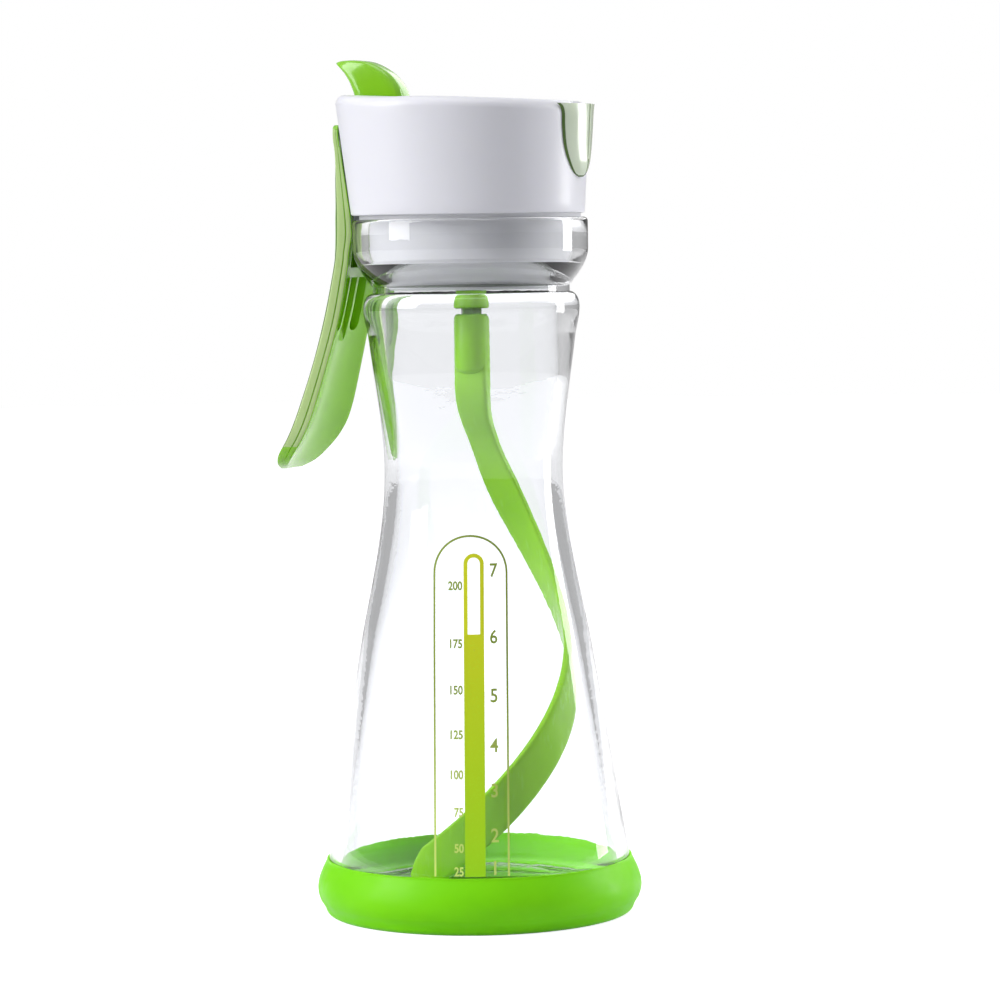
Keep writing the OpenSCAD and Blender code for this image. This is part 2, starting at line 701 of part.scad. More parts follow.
module trigger() {
    rib_t = 1;
    cell_w = 4.6;
    cell_z = hinge_z - lug_r - 8.5;
    color(lime)
        difference() {
            union() {
                difference() {
                    skin([for (r = smooth_rows(trigger_rows, 3)) trigger_ring(r)]);
                    box([pocket_x, -20], [-pocket_half_w, pocket_half_w], [hinge_z - lug_r - 6, window_z[0] - 0.5]);
                    for (i = [-1 : 1])
                        translate([0, i * cell_w + cell_w / 2 - rib_t / 2, 0])
                            rotate([90, 0, 0])
                                linear_extrude(cell_w - rib_t)
                                    polygon([[-lip_r - 5.4, cell_z], [-lip_r - 8.4, cell_z - 13],
                                        [-20, cell_z - 13], [-20, cell_z]]);
                }
                box([pocket_x, link_x], [-rib_half_w, rib_half_w], [link_z - link_boss_r, link_z + link_boss_r]);
                cross_rod(link_x, link_z, rib_half_w, link_boss_r);
            }
            cross_rod(hinge_x, hinge_z, pin_half_l + 0.1, trigger_pin_r + run_gap);
            cross_rod(link_x, link_z, 5, link_r + 0.02);
        }
}

module trigger_pin() {
    color(steel)
        cross_rod(hinge_x, hinge_z, pin_half_l, trigger_pin_r);
}

module link_pin() {
    color(steel)
        cross_rod(link_x, link_z, fork_out - 0.1, link_r);
}

// Horn rows, counted from the horn's centre on the cap: front point x and z, back point x and z,
// half width as a share of the lever's
horn_rows = [
    [6.1, -3, -6.2, -3, 1],
    [6.1, 0, -6.2, 0, 1],
    [4.8, 0.5 * horn_h, -7.2, 0.2 * horn_h, 0.98],
    [1.7, 0.8 * horn_h, -8.3, 0.42 * horn_h, 0.9],
    [-3, 0.98 * horn_h, -9.4, 0.62 * horn_h, 0.78],
    [-8, horn_h, -10.6, 0.82 * horn_h, 0.52],
    [-11.4, 0.96 * horn_h, -11.6, 0.92 * horn_h, 0.17]];
function horn_ring(r) = let (c = [-horn_x, 0, top_z(-horn_x)], f = c + [r[0], 0, r[1]], b = c + [r[2], 0, r[3]],
    d = f - b)
    bar_ring((f + b) / 2, unit(d), [0, -1, 0], norm(d) / 2, r[4] * lever_w / 2, 16, 0.85);

module pour_lever() {
    back_x = channel_back_x + 1;
    front_x = pour_x + 4;
    half_w = lever_w / 2;
    tilt = tan(cap_slope);
    color(lime)
        difference() {
            union() {
                translate([0, half_w, 0])
                    rotate([90, 0, 0])
                        linear_extrude(lever_w)
                            polygon([[back_x, top_z(back_x) - 0.3], [back_x, top_z(back_x) - lever_t],
                                [front_x - 1, top_z(front_x - 1) - lever_t], [front_x, top_z(front_x) - lever_t + 1],
                                [front_x, top_z(front_x) - 1.3], [front_x - 1, top_z(front_x - 1) - 0.3]]);
                cross_rod(-lever_pivot_x, pivot_z, half_w, pour_pin_r + 1.3);
                skin([for (r = smooth_rows(horn_rows, 4)) horn_ring(r)]);
            }
            cross_rod(-lever_pivot_x, pivot_z, 10, pour_pin_r + run_gap);
        }
}

module pour_pin() {
    color(steel)
        cross_rod(-lever_pivot_x, pivot_z, channel_half_w + 0.9, pour_pin_r);
}

// Soft pad that closes the pour tube
module spout_stopper() {
    pad_t = 1.3;
    color([0.9, 0.93, 0.86])
        translate([pour_x, 0, 0])
            difference() {
                union() {
                    disc(rim_z, rim_z + pad_t, pour_bore_r + 0.9);
                    disc(rim_z, top_z(pour_x) - lever_t + 0.5, 2.6);
                }
                translate([-pour_x, 0, 0])
                    rotate([0, cap_slope, 0])
                        translate([-20, -20, (top_z(0) - lever_t) * cos(cap_slope)])
                            cube([60, 40, 10]);
            }
}

// Pouring lip: a creased shield on the front of the cap
lip_rows = [
    [-18.2, 1], [-16.8, 5.5], [-14.6, 10.5], [-11.5, 16], [-8, 18.4], [-4, 18.8], [-1.6, 20], [-0.6, 22.5]];
module spout_lip() {
    grow = (cap_top_r - cap_bottom_r) / cap_h;
    n = 6;
    function ring_at(r) = let (z = top_z(cap_top_r) + r[0], wall = cap_bottom_r + (z - cap_z0) * grow,
        cx = cap_shift - (z - cap_z0) * tan(cap_lean), rise = min(1, 0.35 + r[1] / 16))
        concat(
            [for (k = [n : -1 : -n]) let (a = r[1] * k / n, e = abs(k) / n)
                [cx + (wall + 0.25 + (spout_proud + 0.8) * rise * (1 - e)) * cos(a), (wall + 0.25
                    + (spout_proud + 0.8) * rise * (1 - e)) * sin(a), z]],
            [for (k = [-n : n]) let (a = r[1] * k / n)
                [cx + (wall + 0.04) * cos(a), (wall + 0.04) * sin(a), z]]);
    color(pale_lime)
        skin([for (r = smooth_rows(lip_rows, 3)) ring_at(r)]);
}

glass_bottle();
base_boot();
mixing_blade();
cap_shell();
plug_body();
plug_seal();
gear_deck();
deck_screws();
drive_spindle();
spindle_bush();
spindle_clip();
shaft_seal();
drive_rack();
idler_gear();
idler_axle();
return_spring();
trigger();
trigger_pin();
link_pin();
pour_lever();
pour_pin();
spout_stopper();
spout_lip();
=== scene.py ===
"""Looks of a trigger-driven salad dressing mixer, built round its packed construction.

The bottle stands on Z = 0 with its pouring lip towards +X and its trigger towards -X. Sizes are in
millimetres and angles in degrees. A Shape is modelled in millimetres and turned to metres as it becomes a piece.
"""

from __future__ import annotations

import logging
import math
from dataclasses import dataclass
from enum import Enum
from typing import Callable, Sequence

import bmesh
import bpy
from mathutils import Matrix, Vector

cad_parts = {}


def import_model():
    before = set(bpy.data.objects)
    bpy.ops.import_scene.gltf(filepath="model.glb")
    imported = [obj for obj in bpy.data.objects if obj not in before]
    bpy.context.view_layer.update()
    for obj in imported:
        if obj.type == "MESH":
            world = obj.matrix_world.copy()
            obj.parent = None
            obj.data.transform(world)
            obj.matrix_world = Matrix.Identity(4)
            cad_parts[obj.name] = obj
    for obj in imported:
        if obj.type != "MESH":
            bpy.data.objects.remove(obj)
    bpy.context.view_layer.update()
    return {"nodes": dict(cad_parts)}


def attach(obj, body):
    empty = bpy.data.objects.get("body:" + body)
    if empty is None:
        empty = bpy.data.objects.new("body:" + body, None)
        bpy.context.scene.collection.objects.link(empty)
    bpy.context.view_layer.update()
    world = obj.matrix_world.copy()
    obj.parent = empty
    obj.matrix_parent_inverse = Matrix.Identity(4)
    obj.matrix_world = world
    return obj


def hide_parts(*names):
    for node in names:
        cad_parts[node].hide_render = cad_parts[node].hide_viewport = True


LOG = logging.getLogger("dressing_mixer")
METRES = 0.001
Colour = tuple[float, float, float]
Profile = list[tuple[float, float]]
Ring = list[Vector]


class Body(Enum):
    """The moving bodies that pieces ride on."""

    BOTTLE = "bottle"
    BLADE = "blade"
    LID = "lid"
    TRIGGER = "trigger"
    POUR_LEVER = "pour_lever"


class Slot(Enum):
    """The record's material slots."""

    GLASS = "clear_glass"
    SILICONE = "green_silicone"
    GREEN = "green_plastic"
    PALE_GREEN = "pale_green_plastic"
    WHITE = "white_plastic"
    NATURAL = "inner_plastic"
    RUBBER = "seal_rubber"
    STEEL = "steel"


# Curves and outlines


def sind(angle: float) -> float:
    """Sine of an angle in degrees."""
    return math.sin(math.radians(angle))


def cosd(angle: float) -> float:
    """Cosine of an angle in degrees."""
    return math.cos(math.radians(angle))


def tand(angle: float) -> float:
    """Tangent of an angle in degrees."""
    return math.tan(math.radians(angle))


def blend(low: float, high: float, value: float) -> float:
    """Smooth step of a value from 0 at low to 1 at high."""
    share = min(1.0, max(0.0, (value - low) / (high - low)))
    return share * share * (3 - 2 * share)


def steps(start: float, end: float, count: int) -> list[float]:
    """Evenly spaced values from start to end, both included."""
    return [start + (end - start) * i / count for i in range(count + 1)]


def arc(centre: tuple[float, float], radius: float, start: float, end: float, count: int) -> Profile:
    """Points of a round arc.

    Args:
        centre: Centre of the arc.
        radius: Radius of the arc.
        start: Angle of the first point, from the first axis.
        end: Angle of the last point.
        count: Number of chords.

    Returns:
        The points from start to end.
    """
    return [(centre[0] + radius * cosd(a), centre[1] + radius * sind(a)) for a in steps(start, end, count)]


def hermite(a: float, slope_a: float, b: float, slope_b: float, length: float, t: float) -> float:
    """Cubic from value a to value b over a length, with a slope at each end, read at the share t."""
    rise = 3 * t * t - 2 * t * t * t
    return (
        a * (1 - rise)
        + b * rise
        + length * slope_a * t * (1 - t) ** 2
        + length * slope_b * t * t * (t - 1)
    )


def smooth_rows(rows: Sequence[Sequence[float]], count: int) -> list[list[float]]:
    """Smooth curve through rows of numbers.

    Args:
        rows: The rows that the curve passes through.
        count: Number of steps between two rows.

    Returns:
        The given rows with new ones between them.
    """
    last = len(rows) - 1
    made = []
    for i in range(last):
        before, low, high, after = (rows[min(last, max(0, k))] for k in (i - 1, i, i + 1, i + 2))
        for t in steps(0, 1, count)[:-1]:
            made.append(
                [
                    0.5
                    * (
                        2 * b
                        + t * (c - a)
                        + t * t * (2 * a - 5 * b + 4 * c - d)
                        + t**3 * (3 * b - a - 3 * c + d)
                    )
                    for a, b, c, d in zip(before, low, high, after)
                ]
            )
    return [*made, list(rows[last])]


def smooth_pairs(profile: Profile, count: int) -> Profile:
    """Smooth curve through an outline's points."""
    return [(row[0], row[1]) for row in smooth_rows(profile, count)]


def rounded_ring(centre: Vector, u: Vector, v: Vector, half_u: float, half_v: float, count: int, power: float) -> Ring:
    """Ring of a bar with rounded corners.

    Args:
        centre: Middle of the section.
        u: Unit direction of the section's first side.
        v: Unit direction of its second side.
        half_u: Half size along u.
        half_v: Half size along v.
        count: Number of points.
        power: 1 for an ellipse, and less for squarer corners.

    Returns:
        The points of the ring.
    """
    ring = []
    for i in range(count):
        c, s = cosd(360 * i / count), sind(360 * i / count)
        ring.append(
            centre
            + u * half_u * math.copysign(abs(c) ** power, c)
            + v * half_v * math.copysign(abs(s) ** power, s)
        )
    return ring


# Finishes


class Graph:
    """Adds nodes to a new material or world and links them."""

    def __init__(self, block: bpy.types.Material | bpy.types.World) -> None:
        """Start with an empty tree of nodes."""
        self.block = block
        block.use_nodes = True
        self.tree = block.node_tree
        self.tree.nodes.clear()

    def add(self, kind: str, inputs: dict[str | int, object], **settings: object) -> bpy.types.Node:
        """Add one node.

        Args:
            kind: Blender's name of the node type.
            inputs: A value or a socket to link for each input, by its name or number.
            settings: Properties of the node.

        Returns:
            The new node.
        """
        node = self.tree.nodes.new(kind)
        for key, value in settings.items():
            setattr(node, key, value)
        for key, value in inputs.items():
            if isinstance(value, bpy.types.NodeSocket):
                self.tree.links.new(value, node.inputs[key])
            else:
                node.inputs[key].default_value = value
        return node

    def place(self, stretch: tuple[float, float, float] = (1, 1, 1)) -> bpy.types.NodeSocket:
        """Object coordinates, stretched along the three axes."""
        coordinates = self.add("ShaderNodeTexCoord", {}).outputs["Object"]
        return self.add("ShaderNodeMapping", {"Vector": coordinates, "Scale": stretch}).outputs["Vector"]

    def noise(
        self, size: float, detail: float = 2, stretch: tuple[float, float, float] = (1, 1, 1)
    ) -> bpy.types.NodeSocket:
        """Soft noise whose spots are about that many millimetres across."""
        settings = {"Vector": self.place(stretch), "Scale": 1 / (size * METRES), "Detail": detail}
        return self.add("ShaderNodeTexNoise", settings).outputs["Fac"]

    def spread(
        self, value: bpy.types.NodeSocket, low: float, high: float, start: float = 0.3, end: float = 0.7
    ) -> bpy.types.NodeSocket:
        """Map a value between start and end to the range from low to high."""
        inputs = {"Value": value, "From Min": start, "From Max": end, "To Min": low, "To Max": high}
        return self.add("ShaderNodeMapRange", inputs).outputs["Result"]

    def mix(self, share: bpy.types.NodeSocket | float, low: object, high: object) -> bpy.types.NodeSocket:
        """Mix two colours by a share."""
        low = (*low, 1) if isinstance(low, tuple) else low
        high = (*high, 1) if isinstance(high, tuple) else high
        return self.add("ShaderNodeMix", {0: share, 6: low, 7: high}, data_type="RGBA").outputs[2]

    def bump(
        self, height: bpy.types.NodeSocket, depth: float, strength: float = 1, below: bpy.types.NodeSocket | None = None
    ) -> bpy.types.NodeSocket:
        """Normal of a relief that is that many millimetres deep."""
        inputs: dict[str | int, object] = {"Height": height, "Distance": depth * METRES, "Strength": strength}
        if below is not None:
            inputs["Normal"] = below
        return self.add("ShaderNodeBump", inputs).outputs["Normal"]

    def surface(self, inputs: dict[str | int, object]) -> bpy.types.Material:
        """Close the material with a Principled shader that has these inputs."""
        shader = self.add("ShaderNodeBsdfPrincipled", inputs)
        self.add("ShaderNodeOutputMaterial", {"Surface": shader.outputs["BSDF"]})
        return self.block


@dataclass(frozen=True)
class Finish:
    """A finish with its own material, made on first use."""

    name: str
    slot: Slot
    colour: Colour

    def material(self) -> bpy.types.Material:
        """The finish as a material."""
        return bpy.data.materials.get(self.name) or self.build(Graph(bpy.data.materials.new(self.name)))

    def build(self, graph: Graph) -> bpy.types.Material:
        """Make the material in an empty graph."""
        raise NotImplementedError


@dataclass(frozen=True)
class MouldedPlastic(Finish):
    """Gloss injection-moulded plastic with flow marks, a fine skin and lighter worn edges."""

    deep: Colour
    roughness: float = 0.2
    glow: float = 0.06
    coat: float = 0.35
    wear: float = 0.12
    mottle: float = 0.4
    scuff: float = 0.04
    shine: float = 0.5

    def build(self, graph: Graph) -> bpy.types.Material:
        """Make the material in an empty graph."""
        flow = graph.noise(9, 3, (1, 1, 0.35))
        cloud = graph.noise(26, 2)
        tone = graph.mix(graph.spread(flow, 0, self.mottle), self.colour, self.deep)
        tone = graph.mix(graph.spread(cloud, 0, self.mottle), tone, self.deep)
        worn = tuple(min(1.0, c * 1.25 + 0.05) for c in self.colour)
        edge = graph.add("ShaderNodeNewGeometry", {}).outputs["Pointiness"]
        tone = graph.mix(graph.spread(edge, 0, self.wear, 0.52, 0.6), tone, worn)
        skin = graph.bump(graph.noise(0.35, 3), 0.006, 0.35)
        waves = graph.bump(graph.noise(9, 1), 0.025, 0.3, skin)
        scuffs = graph.noise(1.6, 5, (1, 1, 0.3))
        return graph.surface(
            {
                "Base Color": tone,
                "Roughness": graph.spread(scuffs, self.roughness - self.scuff, self.roughness + self.scuff),
                "IOR": 1.49,
                "Specular IOR Level": self.shine,
                "Subsurface Weight": self.glow,
                "Subsurface Radius": (0.002, 0.002, 0.001),
                "Subsurface Scale": 1.0,
                "Coat Weight": self.coat,
                "Coat Roughness": 0.04,
                "Normal": waves,
            }
        )


@dataclass(frozen=True)
class ClearGlass(Finish):
    """Pressed glass: clear, faintly grey and slightly wavy from the mould, with its tint darkened towards grazing edges
    as painted shade.
    """

    def build(self, graph: Graph) -> bpy.types.Material:
        """Make the material in an empty graph."""
        waves = graph.bump(graph.noise(16, 1, (1, 1, 0.5)), 0.16, 0.5)
        ripples = graph.bump(graph.noise(3.2, 2, (1, 1, 1.6)), 0.02, 0.5, waves)
        haze = graph.noise(22, 4)
        pale = tuple(min(1.0, c + 0.015) for c in self.colour)
        # rim: the tint darkened towards grazing edges, painted shade standing in for the glass's dark edges
        rim = tuple(0.82 * c for c in self.colour)
        body = graph.mix(graph.spread(graph.noise(30, 1), 0, 1), self.colour, pale)
        facing = graph.add("ShaderNodeLayerWeight", {"Blend": 0.5}).outputs["Facing"]
        return graph.surface(
            {
                "Base Color": graph.mix(graph.spread(facing, 0, 1, 0.6, 1), body, rim),
                "Roughness": graph.spread(haze, 0.0, 0.012, 0.45, 0.75),
                "IOR": 1.5,
                "Transmission Weight": 1.0,
                "Normal": ripples,
            }
        )


@dataclass(frozen=True)
class Silicone(Finish):
    """Satin silicone rubber with a fine grain and a soft bloom."""

    deep: Colour
    roughness: float = 0.42

    def build(self, graph: Graph) -> bpy.types.Material:
        """Make the material in an empty graph."""
        cloud = graph.noise(18, 3, (1, 1, 2))
        tone = graph.mix(graph.spread(cloud, 0, 0.6), self.colour, self.deep)
        bloom = graph.noise(4, 5)
        grain = graph.bump(graph.noise(0.3, 2), 0.012, 0.5)
        soft = graph.bump(graph.noise(11, 1), 0.05, 0.4, grain)
        return graph.surface(
            {
                "Base Color": tone,
                "Roughness": graph.spread(bloom, self.roughness - 0.07, self.roughness + 0.12),
                "IOR": 1.4,
                "Specular IOR Level": 0.3,
                "Subsurface Weight": 0.12,
                "Subsurface Radius": (0.002, 0.002, 0.0006),
                "Subsurface Scale": 1.0,
                "Normal": soft,
            }
        )


@dataclass(frozen=True)
class SoftRubber(Finish):
    """Matt sealing rubber with a dusty surface."""

    def build(self, graph: Graph) -> bpy.types.Material:
        """Make the material in an empty graph."""
        dust = graph.spread(graph.noise(2.4, 5), 0, 0.5, 0.5, 0.75)
        dusty = tuple(min(1.0, c * 1.6 + 0.03) for c in self.colour)
        return graph.surface(
            {
                "Base Color": graph.mix(dust, self.colour, dusty),
                "Roughness": graph.spread(graph.noise(1.2, 3), 0.55, 0.72),
                "Specular IOR Level": 0.4,
                "Normal": graph.bump(graph.noise(0.4, 3), 0.015, 0.5),
            }
        )


@dataclass(frozen=True)
class DrawnSteel(Finish):
    """Bright drawn steel with fine lines along the wire or rod."""

    def build(self, graph: Graph) -> bpy.types.Material:
        """Make the material in an empty graph."""
        lines = graph.noise(0.3, 3, (1, 0.05, 1))
        stain = graph.noise(5, 3)
        dull = tuple(c * 0.8 for c in self.colour)
        return graph.surface(
            {
                "Base Color": graph.mix(graph.spread(stain, 0, 1), self.colour, dull),
                "Metallic": 1.0,
                "Roughness": graph.spread(lines, 0.2, 0.38),
                "Normal": graph.bump(lines, 0.006, 0.5),
            }
        )


@dataclass(frozen=True)
class ScreenPrint(Finish):
    """Printed enamel that runs from one colour at the foot of the scale to another at its top."""

    top: Colour
    low_z: float = 14.0
    high_z: float = 76.0

    def build(self, graph: Graph) -> bpy.types.Material:
        """Make the material in an empty graph."""
        height = graph.add("ShaderNodeSeparateXYZ", {"Vector": graph.place()}).outputs["Z"]
        share = graph.spread(height, 0, 1, self.low_z * METRES, self.high_z * METRES)
        tone = graph.mix(share, self.colour, self.top)
        thin = graph.spread(graph.noise(0.5, 4), 0, 0.3, 0.55, 0.8)
        pale = tuple(min(1.0, c * 1.15 + 0.05) for c in self.colour)
        return graph.surface(
            {
                "Base Color": graph.mix(thin, tone, pale),
                "Roughness": graph.spread(graph.noise(1, 2), 0.3, 0.42),
                "IOR": 1.5,
                "Normal": graph.bump(graph.noise(0.25, 2), 0.004, 0.4),
            }
        )


GLASS = ClearGlass("clear_pressed_glass", Slot.GLASS, (0.925, 0.932, 0.948))
LIME = MouldedPlastic("lime_gloss_plastic", Slot.GREEN, (0.26, 0.64, 0.001), (0.19, 0.53, 0.001))
# Brighter copy of the lime for the blade: its satin finish is its own, and its brighter tone is painted light making up
# for light lost behind the glass
BLADE_GREEN_PAINTED_LIGHT = MouldedPlastic(
    "blade_lime_painted_light", Slot.GREEN, (0.34, 0.78, 0.0), (0.2, 0.56, 0.0), roughness=0.25, coat=0.15, shine=0.3
)
# Paler copy of the lime for the trigger's flat sides: a painted sheen standing in for the white reflection there
SIDE_LIME_PAINTED_SHEEN = MouldedPlastic(
    "trigger_side_painted_sheen", Slot.GREEN, (0.5, 0.68, 0.28), (0.44, 0.62, 0.22), roughness=0.3, coat=0.1, wear=0.05
)
# Lime paled towards white for the pouring lip: a painted sheen for the white reflection on its glossy faces
LIP_LIME_PAINTED_SHEEN = MouldedPlastic(
    "lip_lime_painted_sheen", Slot.PALE_GREEN, (0.72, 0.82, 0.64), (0.68, 0.78, 0.57), roughness=0.2, glow=0.15
)
# Near-black green for edge and crease faces: a painted shade line, not a part of its own
PAINTED_EDGE_SHADE = MouldedPlastic("lime_painted_edge_shade", Slot.PALE_GREEN, (0.07, 0.15, 0.01), (0.05, 0.12, 0.008), roughness=0.35, coat=0)
WHITE = MouldedPlastic(
    "white_gloss_plastic",
    Slot.WHITE,
    (0.87, 0.87, 0.93),
    (0.86, 0.86, 0.92),
    roughness=0.36,
    coat=0.06,
    wear=0.0,
    scuff=0.01,
)
# Darker copy of the white plastic for the plug in the neck: the darkening is painted shade, since the glass casts no
# shadow on it
PLUG_GREY_PAINTED_SHADE = MouldedPlastic(
    "plug_white_painted_shade",
    Slot.WHITE,
    (0.81, 0.815, 0.84),
    (0.77, 0.775, 0.8),
    roughness=0.45,
    coat=0,
    wear=0.0,
    shine=0.25,
)
NATURAL = MouldedPlastic(
    "natural_plastic", Slot.NATURAL, (0.76, 0.75, 0.7), (0.68, 0.67, 0.61), roughness=0.42, coat=0, wear=0.15
)
SILICONE = Silicone("lime_silicone", Slot.SILICONE, (0.25, 0.84, 0.0), (0.2, 0.76, 0.0))
RUBBER = SoftRubber("seal_rubber", Slot.RUBBER, (0.26, 0.28, 0.26))
PAD_RUBBER = SoftRubber("stopper_rubber", Slot.RUBBER, (0.62, 0.66, 0.56))
STEEL = DrawnSteel("drawn_steel", Slot.STEEL, (0.62, 0.63, 0.65))
BAR_INK = ScreenPrint("bar_ink", Slot.GLASS, (0.4, 0.82, 0.0), (0.73, 0.78, 0.01))
FIGURE_INK = ScreenPrint("figure_ink", Slot.GLASS, (0.76, 0.95, 0.22), (0.26, 0.36, 0.03), 12.0, 60.0)


# Modelling


class Shape:
    """A mesh in the making, in millimetres."""

    def __init__(self) -> None:
        """Start with an empty mesh."""
        self.bm = bmesh.new()

    @classmethod
    def spun(cls, profile: Profile, count: int, closed: bool = False) -> Shape:
        """Turn an outline of radius and height round the Z axis.

        Args:
            profile: The outline's points.
            count: Number of steps round the axis.
            closed: True if the outline is a loop that doesn't reach the axis.

        Returns:
            The turned shape, with its poles closed.
        """
        shape = cls()
        bm = shape.bm
        verts = [bm.verts.new((r, 0, z)) for r, z in profile]
        pairs = list(zip(verts, verts[1:]))
        if closed:
            pairs.append((verts[-1], verts[0]))
        edges = [bm.edges.new(pair) for pair in pairs]
        bmesh.ops.spin(
            bm, geom=verts + edges, cent=(0, 0, 0), axis=(0, 0, 1), angle=math.tau, steps=count, use_merge=True
        )
        bmesh.ops.remove_doubles(bm, verts=bm.verts, dist=1e-4)
        return shape.outward()

    @classmethod
    def lofted(cls, rings: Sequence[Ring], open_ends: bool = False) -> Shape:
        """Skin a row of rings by extruding the first one along the others.

        Args:
            rings: Rings with the same number of points.
            open_ends: True to leave both ends open.

        Returns:
            The skinned shape.
        """
        shape = cls()
        bm = shape.bm
        loop = bmesh.ops.create_circle(bm, segments=len(rings[0]), radius=1)["verts"]
        for vert, point in zip(loop, rings[0]):
            vert.co = point
        for ring in rings[1:]:
            edges = [bm.edges.get(pair) for pair in zip(loop, loop[1:] + loop[:1])]
            made = bmesh.ops.extrude_edge_only(bm, edges=edges)["geom"]
            fresh = {item for item in made if isinstance(item, bmesh.types.BMVert)}
            loop = [
                next(edge.other_vert(vert) for edge in vert.link_edges if edge.other_vert(vert) in fresh)
                for vert in loop
            ]
            for vert, point in zip(loop, ring):
                vert.co = point
        if not open_ends:
            bmesh.ops.holes_fill(bm, edges=[edge for edge in bm.edges if edge.is_boundary], sides=0)
        return shape.outward()

    @classmethod
    def block(cls, x: tuple[float, float], y: tuple[float, float], z: tuple[float, float]) -> Shape:
        """Box between two limits on each axis."""
        shape = cls()
        bmesh.ops.create_cube(shape.bm, size=1)
        centre = Vector((sum(x) / 2, sum(y) / 2, sum(z) / 2))
        size = (x[1] - x[0], y[1] - y[0], z[1] - z[0])
        shape.bm.transform(Matrix.Translation(centre) @ Matrix.Diagonal((*size, 1)))
        return shape

    @classmethod
    def disc(cls, centre: tuple[float, float], z: tuple[float, float], radius: float, count: int = 64) -> Shape:
        """Upright cylinder between two heights."""
        shape = cls()
        bmesh.ops.create_cone(
            shape.bm,
            cap_ends=True,
            segments=count,
            radius1=radius,
            radius2=radius,
            depth=z[1] - z[0],
            matrix=Matrix.Translation((*centre, sum(z) / 2)),
        )
        return shape

    @classmethod
    def cross_rod(cls, x: float, z: float, half_length: float, radius: float, count: int = 48) -> Shape:
        """Cylinder along Y, centred on the middle plane."""
        shape = cls.disc((0, 0), (-half_length, half_length), radius, count)
        shape.bm.transform(Matrix.Translation((x, 0, z)) @ Matrix.Rotation(math.pi / 2, 4, "X"))
        return shape

    @classmethod
    def side_cut(cls, outline: Profile, y: tuple[float, float]) -> Shape:
        """Outline of X and Z points, extruded across the middle plane.

        Args:
            outline: The points of the outline, in order.
            y: The two ends of the extrusion.

        Returns:
            The extruded shape.
        """
        shape = cls()
        verts = [shape.bm.verts.new((x, y[0], z)) for x, z in outline]
        face = shape.bm.faces.new(verts)
        made = bmesh.ops.extrude_face_region(shape.bm, geom=[face], use_keep_orig=True)["geom"]
        moved = [item for item in made if isinstance(item, bmesh.types.BMVert)]
        bmesh.ops.translate(shape.bm, verts=moved, vec=(0, y[1] - y[0], 0))
        return shape.outward()

    @classmethod
    def figure(
        cls, text: str, height: float, width: float, weight: float, thickness: float, align: str
    ) -> Shape:
        """Printed figure that lies in the plane of X and Y.

        Args:
            text: The digits.
            height: Height of a digit.
            width: Width of a digit as a share of the font's own.
            weight: Growth of the strokes, as a share of the font's size.
            thickness: Thickness of the print.
            align: LEFT, CENTER or RIGHT.

        Returns:
            The figure as a closed shape, centred on its height.
        """
        curve = bpy.data.curves.new("figure", "FONT")
        curve.body = text
        curve.align_x = align
        curve.size = 1.0
        curve.extrude = 0.5
        curve.resolution_u = 6
        curve.offset = weight
        holder = bpy.data.objects.new("figure", curve)
        bpy.context.scene.collection.objects.link(holder)
        graph = bpy.context.evaluated_depsgraph_get()
        mesh = bpy.data.meshes.new_from_object(holder.evaluated_get(graph))
        shape = cls()
        shape.bm.from_mesh(mesh)
        bmesh.ops.remove_doubles(shape.bm, verts=shape.bm.verts, dist=1e-5)
        tops = [vert.co.y for vert in shape.bm.verts]
        scale = height / (max(tops) - min(tops))
        shape.bm.transform(
            Matrix.Diagonal((scale * width, scale, thickness, 1))
            @ Matrix.Translation((0, -(max(tops) + min(tops)) / 2, 0.5))
        )
        bpy.data.objects.remove(holder)
        bpy.data.meshes.remove(mesh)
        bpy.data.curves.remove(curve)
        return shape

    def outward(self) -> Shape:
        """Turn all faces outwards."""
        bmesh.ops.recalc_face_normals(self.bm, faces=self.bm.faces)
        return self

    def warp(self, move: Callable[[Vector], Vector]) -> Shape:
        """Move each point to where the function says."""
        for vert in self.bm.verts:
            vert.co = move(vert.co)
        return self

    def shift(self, x: float = 0, y: float = 0, z: float = 0) -> Shape:
        """Move the shape."""
        self.bm.transform(Matrix.Translation((x, y, z)))
        return self

    def add(self, other: Shape) -> Shape:
        """Take another shape's mesh in, unmerged."""
        mesh = bpy.data.meshes.new("part")
        other.bm.to_mesh(mesh)
        other.bm.free()
        self.bm.from_mesh(mesh)
        bpy.data.meshes.remove(mesh)
        return self

    def mesh(self, name: str = "part") -> bpy.types.Mesh:
        """Close the mesh in the making and hand it over."""
        mesh = bpy.data.meshes.new(name)
        self.bm.to_mesh(mesh)
        self.bm.free()
        return mesh

    def modified(self, kind: str, **settings: object) -> Shape:
        """Apply one of Blender's modifiers.

        Args:
            kind: The modifier's type.
            settings: The modifier's properties.

        Returns:
            This shape, modified.
        """
        holder = bpy.data.objects.new("part", self.mesh())
        bpy.context.scene.collection.objects.link(holder)
        modifier = holder.modifiers.new("modifier", kind)
        for key, value in settings.items():
            setattr(modifier, key, value)
        graph = bpy.context.evaluated_depsgraph_get()
        made = bpy.data.meshes.new_from_object(holder.evaluated_get(graph))
        self.bm = bmesh.new()
        self.bm.from_mesh(made)
        old = holder.data
        bpy.data.objects.remove(holder)
        bpy.data.meshes.remove(old)
        bpy.data.meshes.remove(made)
        return self

